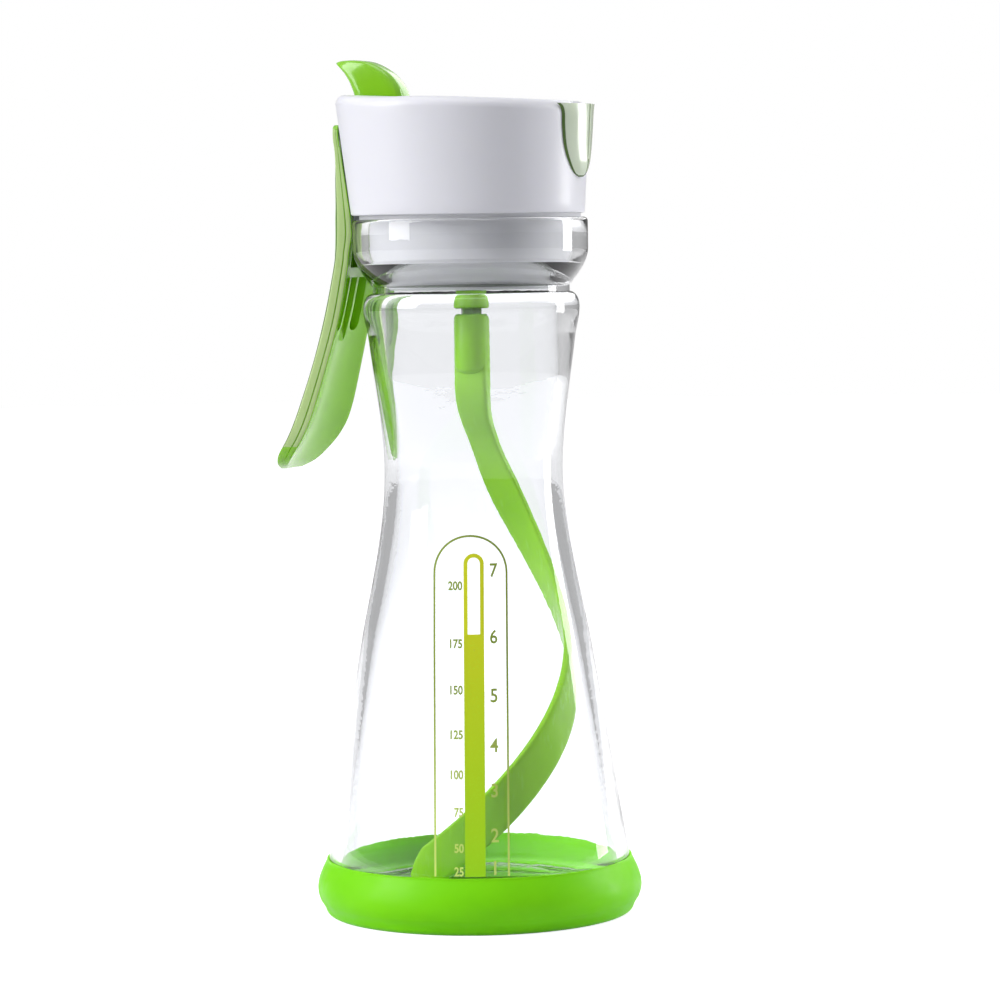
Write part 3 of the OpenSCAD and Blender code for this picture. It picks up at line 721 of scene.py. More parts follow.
    def boolean(self, operation: str, others: Sequence[Shape]) -> Shape:
        """Cut or join other shapes.

        Args:
            operation: DIFFERENCE, UNION or INTERSECT.
            others: The shapes, which are used up.

        Returns:
            This shape, cut or joined.
        """
        for other in others:
            cutter = bpy.data.objects.new("cutter", other.mesh())
            bpy.context.scene.collection.objects.link(cutter)
            self.modified("BOOLEAN", operation=operation, object=cutter, solver="EXACT")
            spent = cutter.data
            bpy.data.objects.remove(cutter)
            bpy.data.meshes.remove(spent)
        bmesh.ops.remove_doubles(self.bm, verts=self.bm.verts, dist=1e-4)
        return self

    def cut(self, *others: Shape) -> Shape:
        """Cut other shapes out of this one."""
        return self.boolean("DIFFERENCE", others)

    def join(self, *others: Shape) -> Shape:
        """Join other shapes to this one."""
        return self.boolean("UNION", others)

    def eased(self, width: float, segments: int = 2, angle: float = 35) -> Shape:
        """Round the edges that are sharper than an angle."""
        return self.modified(
            "BEVEL",
            width=width,
            segments=segments,
            limit_method="ANGLE",
            angle_limit=math.radians(angle),
            use_clamp_overlap=True,
            miter_outer="MITER_ARC",
        )

    def piece(
        self, name: str, body: Body, *finishes: Finish, replaces: Sequence[str] = (), sharp: float = 32
    ) -> bpy.types.Object:
        """Make the shape a piece of the object.

        Args:
            name: Name of the piece.
            body: The body that it rides on.
            finishes: Its finishes, added as its materials in order.
            replaces: The construction's nodes that it stands for.
            sharp: Angle over which an edge stays sharp.

        Returns:
            The new object.
        """
        bmesh.ops.dissolve_degenerate(self.bm, dist=1e-5, edges=self.bm.edges)
        self.bm.transform(Matrix.Scale(METRES, 4))
        mesh = self.mesh(name)
        mesh.shade_smooth()
        mesh.set_sharp_from_angle(angle=math.radians(sharp))
        for finish in finishes:
            mesh.materials.append(finish.material())
        holder = bpy.data.objects.new(name, mesh)
        bpy.context.scene.collection.objects.link(holder)
        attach(holder, body.value)
        if replaces:
            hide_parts(*replaces)
        LOG.info("%s: %d faces on %s", name, len(mesh.polygons), body.value)
        return holder


# Sub-assemblies


@dataclass
class Bottle:
    """Glass with its silicone boot and printed fill scale."""

    lip_z: float = 172
    lip_r: float = 29
    mouth_r: float = 25.3
    neck_bore_r: float = 21.3
    foot_r: float = 37.4
    foot_round: float = 4
    shoulder_r: float = 28.5
    shoulder_z: float = 68
    waist_r: float = 22.1
    waist_z: float = 110
    wall: float = 3.1
    base_t: float = 5
    bead_r: float = 26.7
    groove_r: float = 24.3
    punt: float = 1.2
    boot_h: float = 14
    boot_r: float = 40.5
    boot_floor_t: float = 2
    boot_grooves: int = 3
    view_angle: float = -69

    @property
    def floor_z(self) -> float:
        """Height of the glass floor inside."""
        return self.boot_floor_t + self.base_t

    def neck_curve(self, t: float) -> float:
        """Outer radius between the waist and the bead's underside, at a share of the height."""
        return hermite(self.waist_r, 0, self.bead_r - 1.3, 0.12, self.lip_z - 30 - self.waist_z, t)

    def body_curve(self, t: float) -> float:
        """Outer radius between the shoulder and the waist, at a share of the height."""
        return hermite(self.shoulder_r, -0.19, self.waist_r, 0, self.waist_z - self.shoulder_z, t)

    def radius(self, z: float) -> float:
        """Outer radius of the glass at a height between the boot and the neck."""
        if z < self.shoulder_z:
            share = (z - self.boot_h) / (self.shoulder_z - self.boot_h)
            return self.foot_r + (self.shoulder_r - self.foot_r) * share
        if z < self.waist_z:
            return self.body_curve((z - self.shoulder_z) / (self.waist_z - self.shoulder_z))
        return self.neck_curve((z - self.waist_z) / (self.lip_z - 30 - self.waist_z))

    def outside(self) -> Profile:
        """Outer outline of the glass, from the punt to the lip."""
        z0, lip, under = self.boot_floor_t, self.lip_z, self.lip_z - 30
        bead_z, groove_z = lip - 21.8, lip - 16.6
        lines: Profile = [(0, z0 + self.punt), (self.foot_r - 12, z0 + self.punt), (self.foot_r - 8, z0)]
        lines += [(self.foot_r - r, z0) for r in (7.2, 6.4, 5.6, 4.8)]
        lines += arc((self.foot_r - self.foot_round, z0 + self.foot_round), self.foot_round, -90, 0, 10)
        lines += [(self.radius(z), z) for z in steps(self.boot_h, self.shoulder_z, 12)]
        lines += [(self.radius(z), z) for z in steps(self.shoulder_z, self.waist_z, 24)[1:]]
        lines += [(self.radius(z), z) for z in steps(self.waist_z, under, 18)[1:]]
        for t in steps(0, 1, 8)[1:]:
            lines.append((hermite(self.bead_r - 1.3, 0.12, self.bead_r, 0, bead_z - under, t), under + (bead_z - under) * t))
        for a in steps(0, 90, 10)[1:]:
            lines.append((self.bead_r - (self.bead_r - self.groove_r) * (1 - cosd(a)), bead_z + 3.6 * sind(a)))
        for t in steps(0, 1, 16):
            lines.append((self.groove_r + (self.lip_r - self.groove_r) * sind(90 * t), groove_z + 9.3 * t))
        return lines + arc((self.lip_r - 1, lip - 1), 1, 0, 90, 6)

    def inside(self) -> Profile:
        """Inner outline of the glass, from the lip to the floor."""
        lip, under = self.lip_z, self.lip_z - 30
        lines = arc((self.mouth_r + 0.8, lip - 0.8), 0.8, 90, 180, 5)
        lines += [(self.mouth_r, z) for z in (lip - 4, lip - 9.6)]
        lines += arc((self.mouth_r - 0.4, lip - 10), 0.4, 0, -60, 3)
        lines += [(self.neck_bore_r + 0.8, lip - 13.9), (self.neck_bore_r + 0.3, lip - 14.4), (self.neck_bore_r, lip - 15)]
        lines += [(self.neck_bore_r, z) for z in steps(lip - 17, under, 4)[:-1]]
        for z in steps(under, self.waist_z, 18):
            lines.append((min(self.neck_bore_r, self.radius(z) - self.wall), z))
        lines += [(self.radius(z) - self.wall, z) for z in steps(self.waist_z, self.shoulder_z, 24)[1:]]
        lines += [(self.radius(z) - self.wall, z) for z in steps(self.shoulder_z, self.boot_h, 12)[1:]]
        lines += arc((self.foot_r - self.wall - 6, self.floor_z + 6), 6, 0, -90, 12)
        return lines + [(22, self.floor_z), (12, self.floor_z), (0, self.floor_z)]

    def glass(self) -> None:
        """Blow the glass and press its stippled foot ring."""
        count = 180
        shape = Shape.spun(self.outside() + self.inside(), count)
        ring = [v for v in shape.bm.verts if v.co.z < self.boot_floor_t + 0.01 and v.co.xy.length > self.foot_r - 7.6]
        row = (self.foot_r - 7.2, self.foot_r - 6.4, self.foot_r - 5.6, self.foot_r - 4.8)
        dots = [
            v
            for v in ring
            for i, r in enumerate(row)
            if abs(v.co.xy.length - r) < 0.1 and (round(math.atan2(v.co.y, v.co.x) / math.tau * count) + i) % 2
        ]
        bmesh.ops.translate(shape.bm, verts=dots, vec=(0, 0, 0.35))
        body = shape.piece("glass_body", Body.BOTTLE, GLASS, replaces=["glass_bottle"])
        body.visible_shadow = False

    def boot(self) -> None:
        """Mould the silicone boot with its grip grooves and mould line."""
        inner = self.foot_r + 0.05
        bulge = self.boot_r - self.foot_r - 0.9
        lines: Profile = [(0, 0)]
        for i in range(1, self.boot_grooves + 1):
            start = 10.8 + 7 * i
            lines += [(start, 0), (start + 0.1, 0.5), (start + 1.1, 0.5), (start + 1.2, 0)]
        lines += arc((self.boot_r - 4.1, 2), 2, -90, -10, 8)
        for t in steps(0.06, 1, 30):
            z = 2 + (self.boot_h - 2.4) * t
            line = 0.1 * math.exp(-(((z - 3.9) / 0.16) ** 2))
            lines.append((self.boot_r - bulge - 0.1 + bulge * sind(180 * t**0.8) - 0.3 * t + line, z))
        lines += [(inner + 0.46, self.boot_h - 0.1), (inner + 0.3, self.boot_h), (inner + 0.1, self.boot_h - 0.05)]
        lines += [(inner, self.boot_h - 0.4)]
        lines += arc((inner - 4, self.boot_floor_t + 4), 4, 0, -90, 10)
        lines += [(0, self.boot_floor_t)]
        Shape.spun(lines, 160).piece("silicone_boot", Body.BOTTLE, SILICONE, replaces=["base_boot"])

    def build(self) -> None:
        """Build the bottle's pieces."""
        self.glass()
        self.boot()


@dataclass
class FillScale:
    """Fill scale printed on the front of the glass: an arch, a bar with a window, and two rows of plain numbers."""

    bottle: Bottle
    lift: float = 0.06
    thickness: float = 0.05
    turn: float = -2.9
    foot_z: float = 14.4
    arch_top_z: float = 95.3
    arch_half_w: float = 8.9
    arch_line: float = 0.48
    bar_x: float = 0.85
    bar_half_w: float = 2.45
    bar_line: float = 0.95
    bar_top_z: float = 90.6
    window_z: float = 71.8

    def on_glass(self, point: Vector) -> Vector:
        """Lay a point of the flat print on the glass: X along the print's width, Y its height, Z its thickness."""
        radius = self.bottle.radius(point.y)
        angle = self.bottle.view_angle + self.turn + math.degrees(point.x / radius)
        out = radius + self.lift + point.z
        return Vector((out * cosd(angle), out * sind(angle), point.y))

    def line(self, path: Profile, width: float) -> Shape:
        """Printed line along a path.

        Args:
            path: The line's middle.
            width: Width of the line.

        Returns:
            The line as a thin closed shape.
        """
        rings = []
        for i, (x, y) in enumerate(path):
            before, after = path[max(0, i - 1)], path[min(len(path) - 1, i + 1)]
            along = Vector((after[0] - before[0], after[1] - before[1], 0)).normalized()
            side = Vector((along.y, -along.x, 0)) * width / 2
            up = Vector((0, 0, self.thickness))
            middle = Vector((x, y, 0))
            rings.append([middle - side, middle + side, middle + side + up, middle - side + up])
        return Shape.lofted(rings)

    def arch_path(self, centre_x: float, half_w: float, foot_z: float, top_z: float) -> Profile:
        """Upright line, half circle and line down again."""
        spring = top_z - half_w
        left = [(centre_x - half_w, z) for z in steps(foot_z, spring, 40)]
        right = [(centre_x + half_w, z) for z in steps(spring, foot_z, 40)]
        return left + arc((centre_x, spring), half_w, 180, 0, 32)[1:-1] + right

    def figures(
        self, rows: dict[str, float], x: float, height: float, width: float, weight: float, align: str
    ) -> Shape:
        """Column of numbers.

        Args:
            rows: Height of each number's middle.
            x: Place of the column across the print.
            height: Height of a digit.
            width: Width of a digit as a share of the font's own.
            weight: Growth of the strokes, as a share of the font's size.
            align: LEFT, CENTER or RIGHT.

        Returns:
            All numbers as one shape.
        """
        column = Shape()
        for text, z in rows.items():
            column.add(Shape.figure(text, height, width, weight, self.thickness, align).shift(x, z))
        return column

    def build(self) -> None:
        """Print the scale."""
        outline = self.line(self.arch_path(0, self.arch_half_w, self.foot_z, self.arch_top_z), self.arch_line)
        outline.warp(self.on_glass).piece("scale_arch", Body.BOTTLE, FIGURE_INK)
        column = [(self.bar_x, z) for z in steps(self.foot_z, self.window_z, 40)]
        bar = self.line(column, 2 * self.bar_half_w)
        half = self.bar_half_w - self.bar_line / 2
        bar.add(self.line(self.arch_path(self.bar_x, half, self.window_z, self.bar_top_z), self.bar_line))
        bar.warp(self.on_glass).piece("scale_bar", Body.BOTTLE, BAR_INK)
        small = {"200": 83.4, "175": 69.6, "150": 58.6, "125": 48, "100": 38.5, "75": 29.6, "50": 21.1, "25": 15.6}
        large = {"7": 87, "6": 71.2, "5": 57.2, "4": 45.4, "3": 34.7, "2": 24.1, "1": 16.4}
        self.figures(small, -1.9, 2.2, 0.8, 0.028, "RIGHT").warp(self.on_glass).piece(
            "scale_small_numbers", Body.BOTTLE, FIGURE_INK
        )
        self.figures(large, 5.6, 3.3, 0.88, 0.014, "CENTER").warp(self.on_glass).piece(
            "scale_large_numbers", Body.BOTTLE, FIGURE_INK
        )


@dataclass
class Blade:
    """Helical mixing blade that hangs from the spindle and sweeps along the glass."""

    top_z: float = 133
    tip_z: float = 11.916
    hub_z: float = 149.5
    hub_r: float = 4.4
    reach: float = 27
    width: float = 9.8
    thickness: float = 2
    turn: float = 215
    start: float = 111
    face_turn: float = 24
    hub_foot_z: float = 134.4
    lead: float = 7.5
    socket_r: float = 2.9
    socket_depth: float = 7.6

    def at(self, s: float) -> Vector:
        """Point of the centre line at a share of the blade's length."""
        share = 1.065 * s - 0.065 * s**6.4
        angle = self.start - self.turn * s**1.2
        radius = self.reach * sind(90 * share**0.77) * blend(-0.01, 0.13, share)
        return Vector((radius * cosd(angle), radius * sind(angle), self.top_z - (self.top_z - self.tip_z) * share))

    def ring(self, s: float) -> Ring:
        """Section of the band at a share of the blade's length."""
        along = (self.at(min(1, s + 0.004)) - self.at(max(0, s - 0.004))).normalized()
        angle = self.start - self.turn * s**1.2 - self.face_turn * math.exp(-s / 0.12)
        wide = along.cross(Vector((cosd(angle), sind(angle), 0))).normalized()
        out = wide.cross(along).normalized()
        tip = math.sqrt(max(0.06, min(1, (1 - s) / 0.045)))
        narrow = 1.2 * math.exp(-s / 0.1) + 2 * math.exp(-(((s - 0.13) / 0.07) ** 2))
        half_w = (self.width - narrow) * tip / 2
        half_t = (self.thickness + 2.4 * math.exp(-s / 0.1)) / 2
        return rounded_ring(self.at(s), wide, out, half_w, half_t, 40, 0.38)

    def build(self) -> None:
        """Mould the blade with its hub and hexagonal socket."""
        first = self.ring(0)
        rings = [[point + Vector((0, 0, up)) for point in first] for up in (self.lead, self.lead / 2)]
        band = Shape.lofted(rings + [self.ring(s) for s in steps(0, 1, 150)])
        low, r, top = self.hub_foot_z, self.hub_r, self.hub_z
        foot = [(0, low), (0.5 * r, low + 0.25), (0.75 * r, low + 0.8), (0.92 * r, low + 1.7), (r, low + 3.2)]
        rim = [(r, top - 0.5), (r - 0.15, top - 0.15), (r - 0.5, top), (0, top)]
        hub = Shape.spun(smooth_pairs(foot, 5) + rim, 64)
        socket = Shape.disc((0, 0), (self.hub_z - self.socket_depth, self.hub_z + 1), self.socket_r, 6)
        socket.bm.transform(Matrix.Rotation(math.radians(-30), 4, "Z"))
        band.join(hub).cut(socket).piece("blade_ribbon", Body.BLADE, BLADE_GREEN_PAINTED_LIGHT, replaces=["mixing_blade"])


@dataclass
class Lid:
    """White cap with its lever channel, hinge lug and pouring lip."""

    lip_z: float = 172
    lip_r: float = 29
    height: float = 28.4
    bottom_r: float = 28.8
    top_r: float = 31.4
    shift: float = -0.5
    lean: float = 2.1
    slope: float = 2.6
    wall: float = 2.2
    top_round: float = 2.5
    channel_depth: float = 7.4
    channel_half_w: float = 4.4
    channel_wall: float = 1.3
    pour_x: float = 13.2
    well_r: float = 6
    outlet_half_w: float = 3.4
    tube_r: float = 5.4
    hinge_x: float = -31.4
    hinge_z: float = 168
    lug_half_w: float = 4
    lug_r: float = 1.7
    pin_r: float = 1
    window_half_w: float = 4.2
    window_low_z: float = 182.6
    window_high_z: float = 189.6
    pivot_x: float = -13.5
    pivot_r: float = 0.9
    spout_proud: float = 1.55
    dip: float = 0.6

    @property
    def z0(self) -> float:
        """Height of the cap's lower edge."""
        return self.lip_z + 1

    @property
    def channel_z(self) -> float:
        """Height of the lever channel's floor."""
        return self.z0 + self.height - self.channel_depth

    @property
    def back_x(self) -> float:
        """Where the lever channel ends at the back."""
        return -(self.top_r - 1.4)

    def top_z(self, x: float) -> float:
        """Height of the sloping top face."""
        return self.z0 + self.height - x * tand(self.slope)

    def place(self, point: Vector) -> Vector:
        """Lean the turned cap back, slope its top and dip its rim beside the thumb horn."""
        share = min(1.0, point.z / (self.height - 6))
        x = self.shift + point.x - point.z * tand(self.lean)
        drop = -x * tand(self.slope) * share
        grow = 1 + drop * (self.top_r - self.bottom_r) / self.height / self.bottom_r
        high = blend(self.height - 7, self.height - 1, point.z)
        dip = self.dip * math.exp(-(((x + 15) / 10) ** 2)) * blend(7, 22, abs(point.y)) * high
        return Vector((x + point.x * (grow - 1), point.y * grow, self.z0 + point.z + drop - dip))

    def wall_r(self, h: float) -> float:
        """Outer radius of the cap at a height over its lower edge."""
        return self.bottom_r + h * (self.top_r - self.bottom_r) / self.height

    def shell(self) -> Shape:
        """Turned cap with rounded rims, leaned and sloped."""
        top, edge = self.height, self.top_round
        rim = self.wall_r(top - edge) - edge
        lines: Profile = [(r, top) for r in (0, 6, 12, 18, 24)]
        lines += [(rim + edge * sind(a), top - edge + edge * cosd(a)) for a in steps(0, 90, 12)]
        lines += [(self.wall_r(h), h) for h in steps(top - edge - 2, 0.5, 10)]
        lines += [(self.wall_r(0) - 0.15, 0.12), (self.wall_r(0) - 0.5, 0), (self.wall_r(0) - self.wall + 0.3, 0)]
        lines += [(self.wall_r(h) - self.wall, h) for h in steps(0.3, top - self.wall - 1, 8)]
        lines += [(r, top - self.wall) for r in (rim + edge - self.wall - 1, 20, 10, 0)]
        return Shape.spun(lines, 192).warp(self.place)

    def channel(self, grow: float, low: float) -> Shape:
        """Space of the lever channel with its round well, grown by a wall."""
        high = self.z0 + self.height + 8
        half = self.channel_half_w + grow
        slot = Shape.block((self.back_x - grow, self.pour_x), (-half, half), (low, high))
        return slot.join(Shape.disc((self.pour_x, 0), (low, high), self.well_r + grow))

    def cap(self, seat: Shape) -> None:
        """Mould the cap, with a seat for the pressed thumb horn in its rim."""
        under = self.channel_z - self.channel_wall
        high = self.z0 + self.height + 8
        half = self.outlet_half_w + 1 + self.channel_wall
        trough = self.channel(self.channel_wall, under)
        trough.join(Shape.block((self.pour_x, 40), (-half, half), (under, high)))
        core = Shape.spun([(0, 0.5)] + [(self.wall_r(h) - 0.6, h) for h in steps(0.5, self.height - 2.6, 10)]
            + [(self.wall_r(self.height) - 3.2, self.height - 0.6), (0, self.height - 0.6)], 192).warp(self.place)
        trough.boolean("INTERSECT", [core])
        trough.cut(Shape.disc((self.pour_x, 0), (under - 1, self.channel_z + 1), self.tube_r + 0.05))
        lug = Shape.block(
            (self.hinge_x - self.lug_r, -28.6), (-self.lug_half_w, self.lug_half_w), (self.z0, self.window_low_z - 1)
        )
        foot = Shape.block(
            (self.hinge_x - self.lug_r + 0.05, -self.lip_r - 0.45),
            (0.05 - self.lug_half_w, self.lug_half_w - 0.05),
            (self.hinge_z, self.z0 + 0.5),
        )
        knuckle = Shape.cross_rod(self.hinge_x, self.hinge_z, self.lug_half_w + 0.05, self.lug_r)
        cap = self.shell().join(trough, lug, foot, knuckle)
        outlet = Shape.block((self.pour_x, 60), (-self.outlet_half_w, self.outlet_half_w), (self.channel_z, high))
        window = Shape.block(
            (self.hinge_x - 5, -20), (-self.window_half_w, self.window_half_w), (self.window_low_z, self.window_high_z)
        )
        pivot_z = self.top_z(self.pivot_x) - 3.4
        pins = [
            Shape.cross_rod(self.pivot_x, pivot_z, self.channel_half_w + 1, self.pivot_r + 0.02),
            Shape.cross_rod(self.hinge_x, self.hinge_z, 20, self.pin_r + 0.02),
        ]
        dish = Shape.disc((0, 0), (-4.5, 4.5), 11.6, 96)
        dish.bm.transform(
            Matrix.Translation((self.back_x - 1.5, 0, self.top_z(self.back_x) + 10.9))
            @ Matrix.Rotation(math.pi / 2, 4, "Y")
        )
        cap.cut(self.channel(0, self.channel_z), outlet, window, dish, seat, *pins)
        cap.eased(0.22, 2, 40).piece("cap_cover", Body.LID, WHITE, replaces=["cap_shell"])

    def spout_ring(self, drop: float, half_angle: float) -> Ring:
        """Section of the pouring lip.

        Args:
            drop: Height against the top face at the rim.
            half_angle: Half the angle that the section spans.

        Returns:
            The ring's points: the creased front from one side to the other, then the back.
        """
        z = self.top_z(self.top_r) + drop
        wall = self.wall_r(z - self.z0)
        centre = self.shift - (z - self.z0) * tand(self.lean)
        rise = min(1.0, math.sqrt(half_angle / 13))
        shares = (1, 0.975, 0.94, 0.88, 0.8, 0.7, 0.58, 0.46, 0.34, 0.22, 0.12, 0.05, 0.025, 0)
        front, back = [], []
        for k in [-share for share in shares] + list(reversed(shares[:-1])):
            crease = 0.3 * max(0.0, 1 - abs(k) / 0.3) - (0.14 if abs(k) < 0.03 else 0)
            bulge = self.spout_proud * (1 - abs(k) ** 2.2) + crease
            reach = wall + 0.04 + rise * (0.28 * min(1.0, (1 - abs(k)) / 0.06) + bulge)
            angle = half_angle * k
            front.append(Vector((centre + reach * cosd(angle), reach * sind(angle), z)))
            back.append(Vector((centre + (wall + 0.02) * cosd(angle), (wall + 0.02) * sind(angle), z)))
        return front + back[::-1]

    def spout(self) -> None:
        """Mould the pouring lip, with a painted dark shade line along its border and its crease."""
        rows = [(-18.3, 1.5), (-18.0, 4), (-17.2, 7.6), (-15.6, 11.2), (-13, 14.8), (-10, 17.2), (-6, 18.5)]
        rows += [(-3, 18.9), (-1.4, 20.2), (-0.6, 22.5)]
        rings = [self.spout_ring(*row) for row in smooth_rows(rows, 8)]
        lip = Shape.lofted(rings).piece("pouring_lip", Body.LID, LIP_LIME_PAINTED_SHEEN, PAINTED_EDGE_SHADE, replaces=["spout_lip"], sharp=50)
        # Border, foot and crease faces take the painted dark edge shade.
        low_z = rings[0][0].z + 0.35
        for face in lip.data.polygons:
            x, y, z = face.center / METRES
            centre = self.shift - (z - self.z0) * tand(self.lean)
            proud = math.hypot(x - centre, y) - self.wall_r(z - self.z0)
            width = math.degrees(math.atan2(abs(y), x - centre)) * METRES
            if proud < 0.42 or z < low_z or width < 0.5 * METRES:
                face.material_index = 1

    def build(self, seat: Shape) -> None:
        """Build the lid's visible shells round the thumb horn's seat."""
        self.cap(seat)
        self.spout()


@dataclass
class Trigger:
    """Finger trigger: a crowned, hollow-backed blade with a mould line along its edges."""

    lid: Lid
    half_w: float = 10
    edge_t: float = 3.8
    clear: float = 0.4
    pocket_half_w: float = 4.3
    rib_half_w: float = 1.6
    link_x: float = -27.2
    link_z: float = 186
    link_r: float = 0.8
    line_depth: float = 0.2
    strip_low: float = -56
    strip_high: float = 22.6

    def cap_back(self, h: float) -> float:
        """Stand-off of the cap's back from the lip's radius, at a height over the lip."""
        lid = self.lid
        up = max(0.0, h - 1)
        grow = (lid.top_r - lid.bottom_r) / lid.height
        return max(0.0, lid.bottom_r + up * (grow + tand(lid.lean)) - lid.shift - lid.lip_r)

    def rows(self) -> list[list[float]]:
        """Height over the lip, stand-off of the hollow face, edge thickness, crown, half width and hollow."""
        w, t = self.half_w, self.edge_t
        low = [
            [-61.8, 19.6, 0.35 * t, 0.4, w - 4.6, 0.3],
            [-60.4, 18.1, 0.75 * t, 0.9, w - 1.2, 0.8],
            [-58, 16.6, t, 1.6, w + 1, 1.6],
            [-53.6, 14.3, 1.08 * t, 2.3, w + 2.5, 2.8],
            [-47.7, 11.8, 1.1 * t, 2.6, w + 2.9, 3.2],
            [-35.6, 8, t, 2.8, w + 1.7, 3],
            [-24, 4.4, t, 2.9, w + 0.6, 2.4],
            [-12, 1.7, t - 0.3, 2.7, w, 1.8],
            [-8, 1.15, t - 0.5, 3.1, w, 1.75],
            [-4, self.clear, t, 3.2, w, 1.75],
            [0, self.clear + 0.1, t - 0.2, 3.3, w, 1.75],
        ]
        high = [[4, 3, 3.1, 0, 1.75], [10.3, 2.1, 2.9, 0.1, 1.55], [16.5, 1.45, 1.7, 0.3, 1.35]]
        high += [[20, 1.35, 1.2, 0.5, 1.3], [22.3, 1.2, 0.8, 1, 1.2], [23.2, 1, 0.6, 1.9, 1], [23.5, 0.7, 0.4, 3, 0.7]]
        for h, edge, crown, narrow, hollow in high:
            off = self.cap_back(h) + self.clear + (0.15 if h > 18 else 0)
            low.append([h, off, edge, crown, w - narrow, hollow])
        return low

    def ring(self, row: Sequence[float]) -> Ring:
        """Section of the trigger: crowned outside, hollow inside, with a line along each edge."""
        height, off, edge, crown, w, hollow = row
        z = self.lid.lip_z + height
        inner = -self.lid.lip_r - off
        outer = inner + hollow - edge
        soft = min(0.5, 0.25 * edge, 0.3 * w)
        count = 14
        front = []
        for k in range(-count, count + 1):
            share = k / count
            y = (w - soft) * share
            front.append(Vector((outer - crown * (1 - (y / w) ** 2), y, z)))
        outer_edge = front[-1].x
        inner_w = w - 0.35 - soft * 0.5
        hollow_edge = inner + hollow * (inner_w / (w - 0.35)) ** 2
        span = hollow_edge - outer_edge
        line = self.line_depth * min(1.0, edge / self.edge_t)
        side = []
        rim = ((0.03, 0.6), (0.08, 0.2), (0.15, 0.03), (0.35, 0), (0.58, 0), (0.63, 0), (0.67, 0), (0.85, 0), (0.95, 0.15))
        for share, corner in rim:
            groove = line if share == 0.63 else 0
            side.append((outer_edge + span * share, w - corner * soft - groove - 0.35 * share))
        left = [Vector((x, y, z)) for x, y in side]
        back = [Vector((inner + hollow * (inner_w * k / count / (w - 0.35)) ** 2, inner_w * k / count, z)) for k in range(count, -count - 1, -1)]
        right = [Vector((x, -y, z)) for x, y in reversed(side)]
        return front + left + back + right

    def build(self) -> None:
        """Mould the trigger with its hinge pocket, ribs and link arm."""
        lid = self.lid
        shape = Shape.lofted([self.ring(row) for row in smooth_rows(self.rows(), 6)])
        pocket_x = lid.hinge_x - lid.lug_r - 0.3
        half = self.pocket_half_w
        pocket = Shape.block((pocket_x, -20), (-half, half), (lid.hinge_z - lid.lug_r - 6, lid.window_low_z - 0.5))
        cell_z, cell_w, rib_t = lid.hinge_z - lid.lug_r - 8.5, 4.6, 1.0
        cells = []
        for i, depth in ((-1, 11.5), (0, 14.5), (1, 11.5)):
            half_cell = (cell_w - rib_t) / 2
            low_z = cell_z - depth
            outline = [(-lid.lip_r - 4.2, cell_z), (-lid.lip_r - 6.2, low_z), (-20, low_z), (-20, cell_z)]
            cell = Shape.side_cut(outline, (i * cell_w - half_cell, i * cell_w + half_cell))
            foot = Shape.disc((0, 0), (-6.2, 9), half_cell, 32)
            foot.bm.transform(
                Matrix.Translation((-lid.lip_r, i * cell_w, low_z)) @ Matrix.Rotation(math.pi / 2, 4, "Y")
            )
            cells.append(cell.join(foot))
        arm = Shape.block(
            (pocket_x, self.link_x), (-self.rib_half_w, self.rib_half_w), (self.link_z - 1.5, self.link_z + 1.5)
        )
        boss = Shape.cross_rod(self.link_x, self.link_z, self.rib_half_w + 0.1, 1.8)
        pins = [
            Shape.cross_rod(lid.hinge_x, lid.hinge_z, 6.9, lid.pin_r + 0.06),
            Shape.cross_rod(self.link_x, self.link_z, 5, self.link_r + 0.02),
        ]
        shape.cut(pocket, *cells).join(arm, boss).cut(*pins)
        arm = shape.eased(0.18, 2, 48).piece(
            "trigger_arm", Body.TRIGGER, LIME, SIDE_LIME_PAINTED_SHEEN, PAINTED_EDGE_SHADE, replaces=["trigger"]
        )
        # Flat side faces take the pale painted sheen, and the outer edge faces take the dark painted edge shade.
        for face in arm.data.polygons:
            _, y, z = face.center / METRES
            depth = self.half_at(z) - abs(y)
            if not self.strip_low < z - lid.lip_z < self.strip_high:
                continue
            if depth < 0.75 and abs(face.normal.y) > 0.85:
                face.material_index = 1
            elif depth < 0.6 and abs(face.normal.y) > 0.3 and face.normal.x < -0.15:
                face.material_index = 2

    def half_at(self, z: float) -> float:
        """Half width of the trigger at a height."""
        rows = smooth_rows(self.rows(), 6)
        height = z - self.lid.lip_z
        for low, high in zip(rows, rows[1:]):
            if height <= high[0]:
                share = max(0.0, (height - low[0]) / (high[0] - low[0]))
                return low[4] + (high[4] - low[4]) * share
        return rows[-1][4]


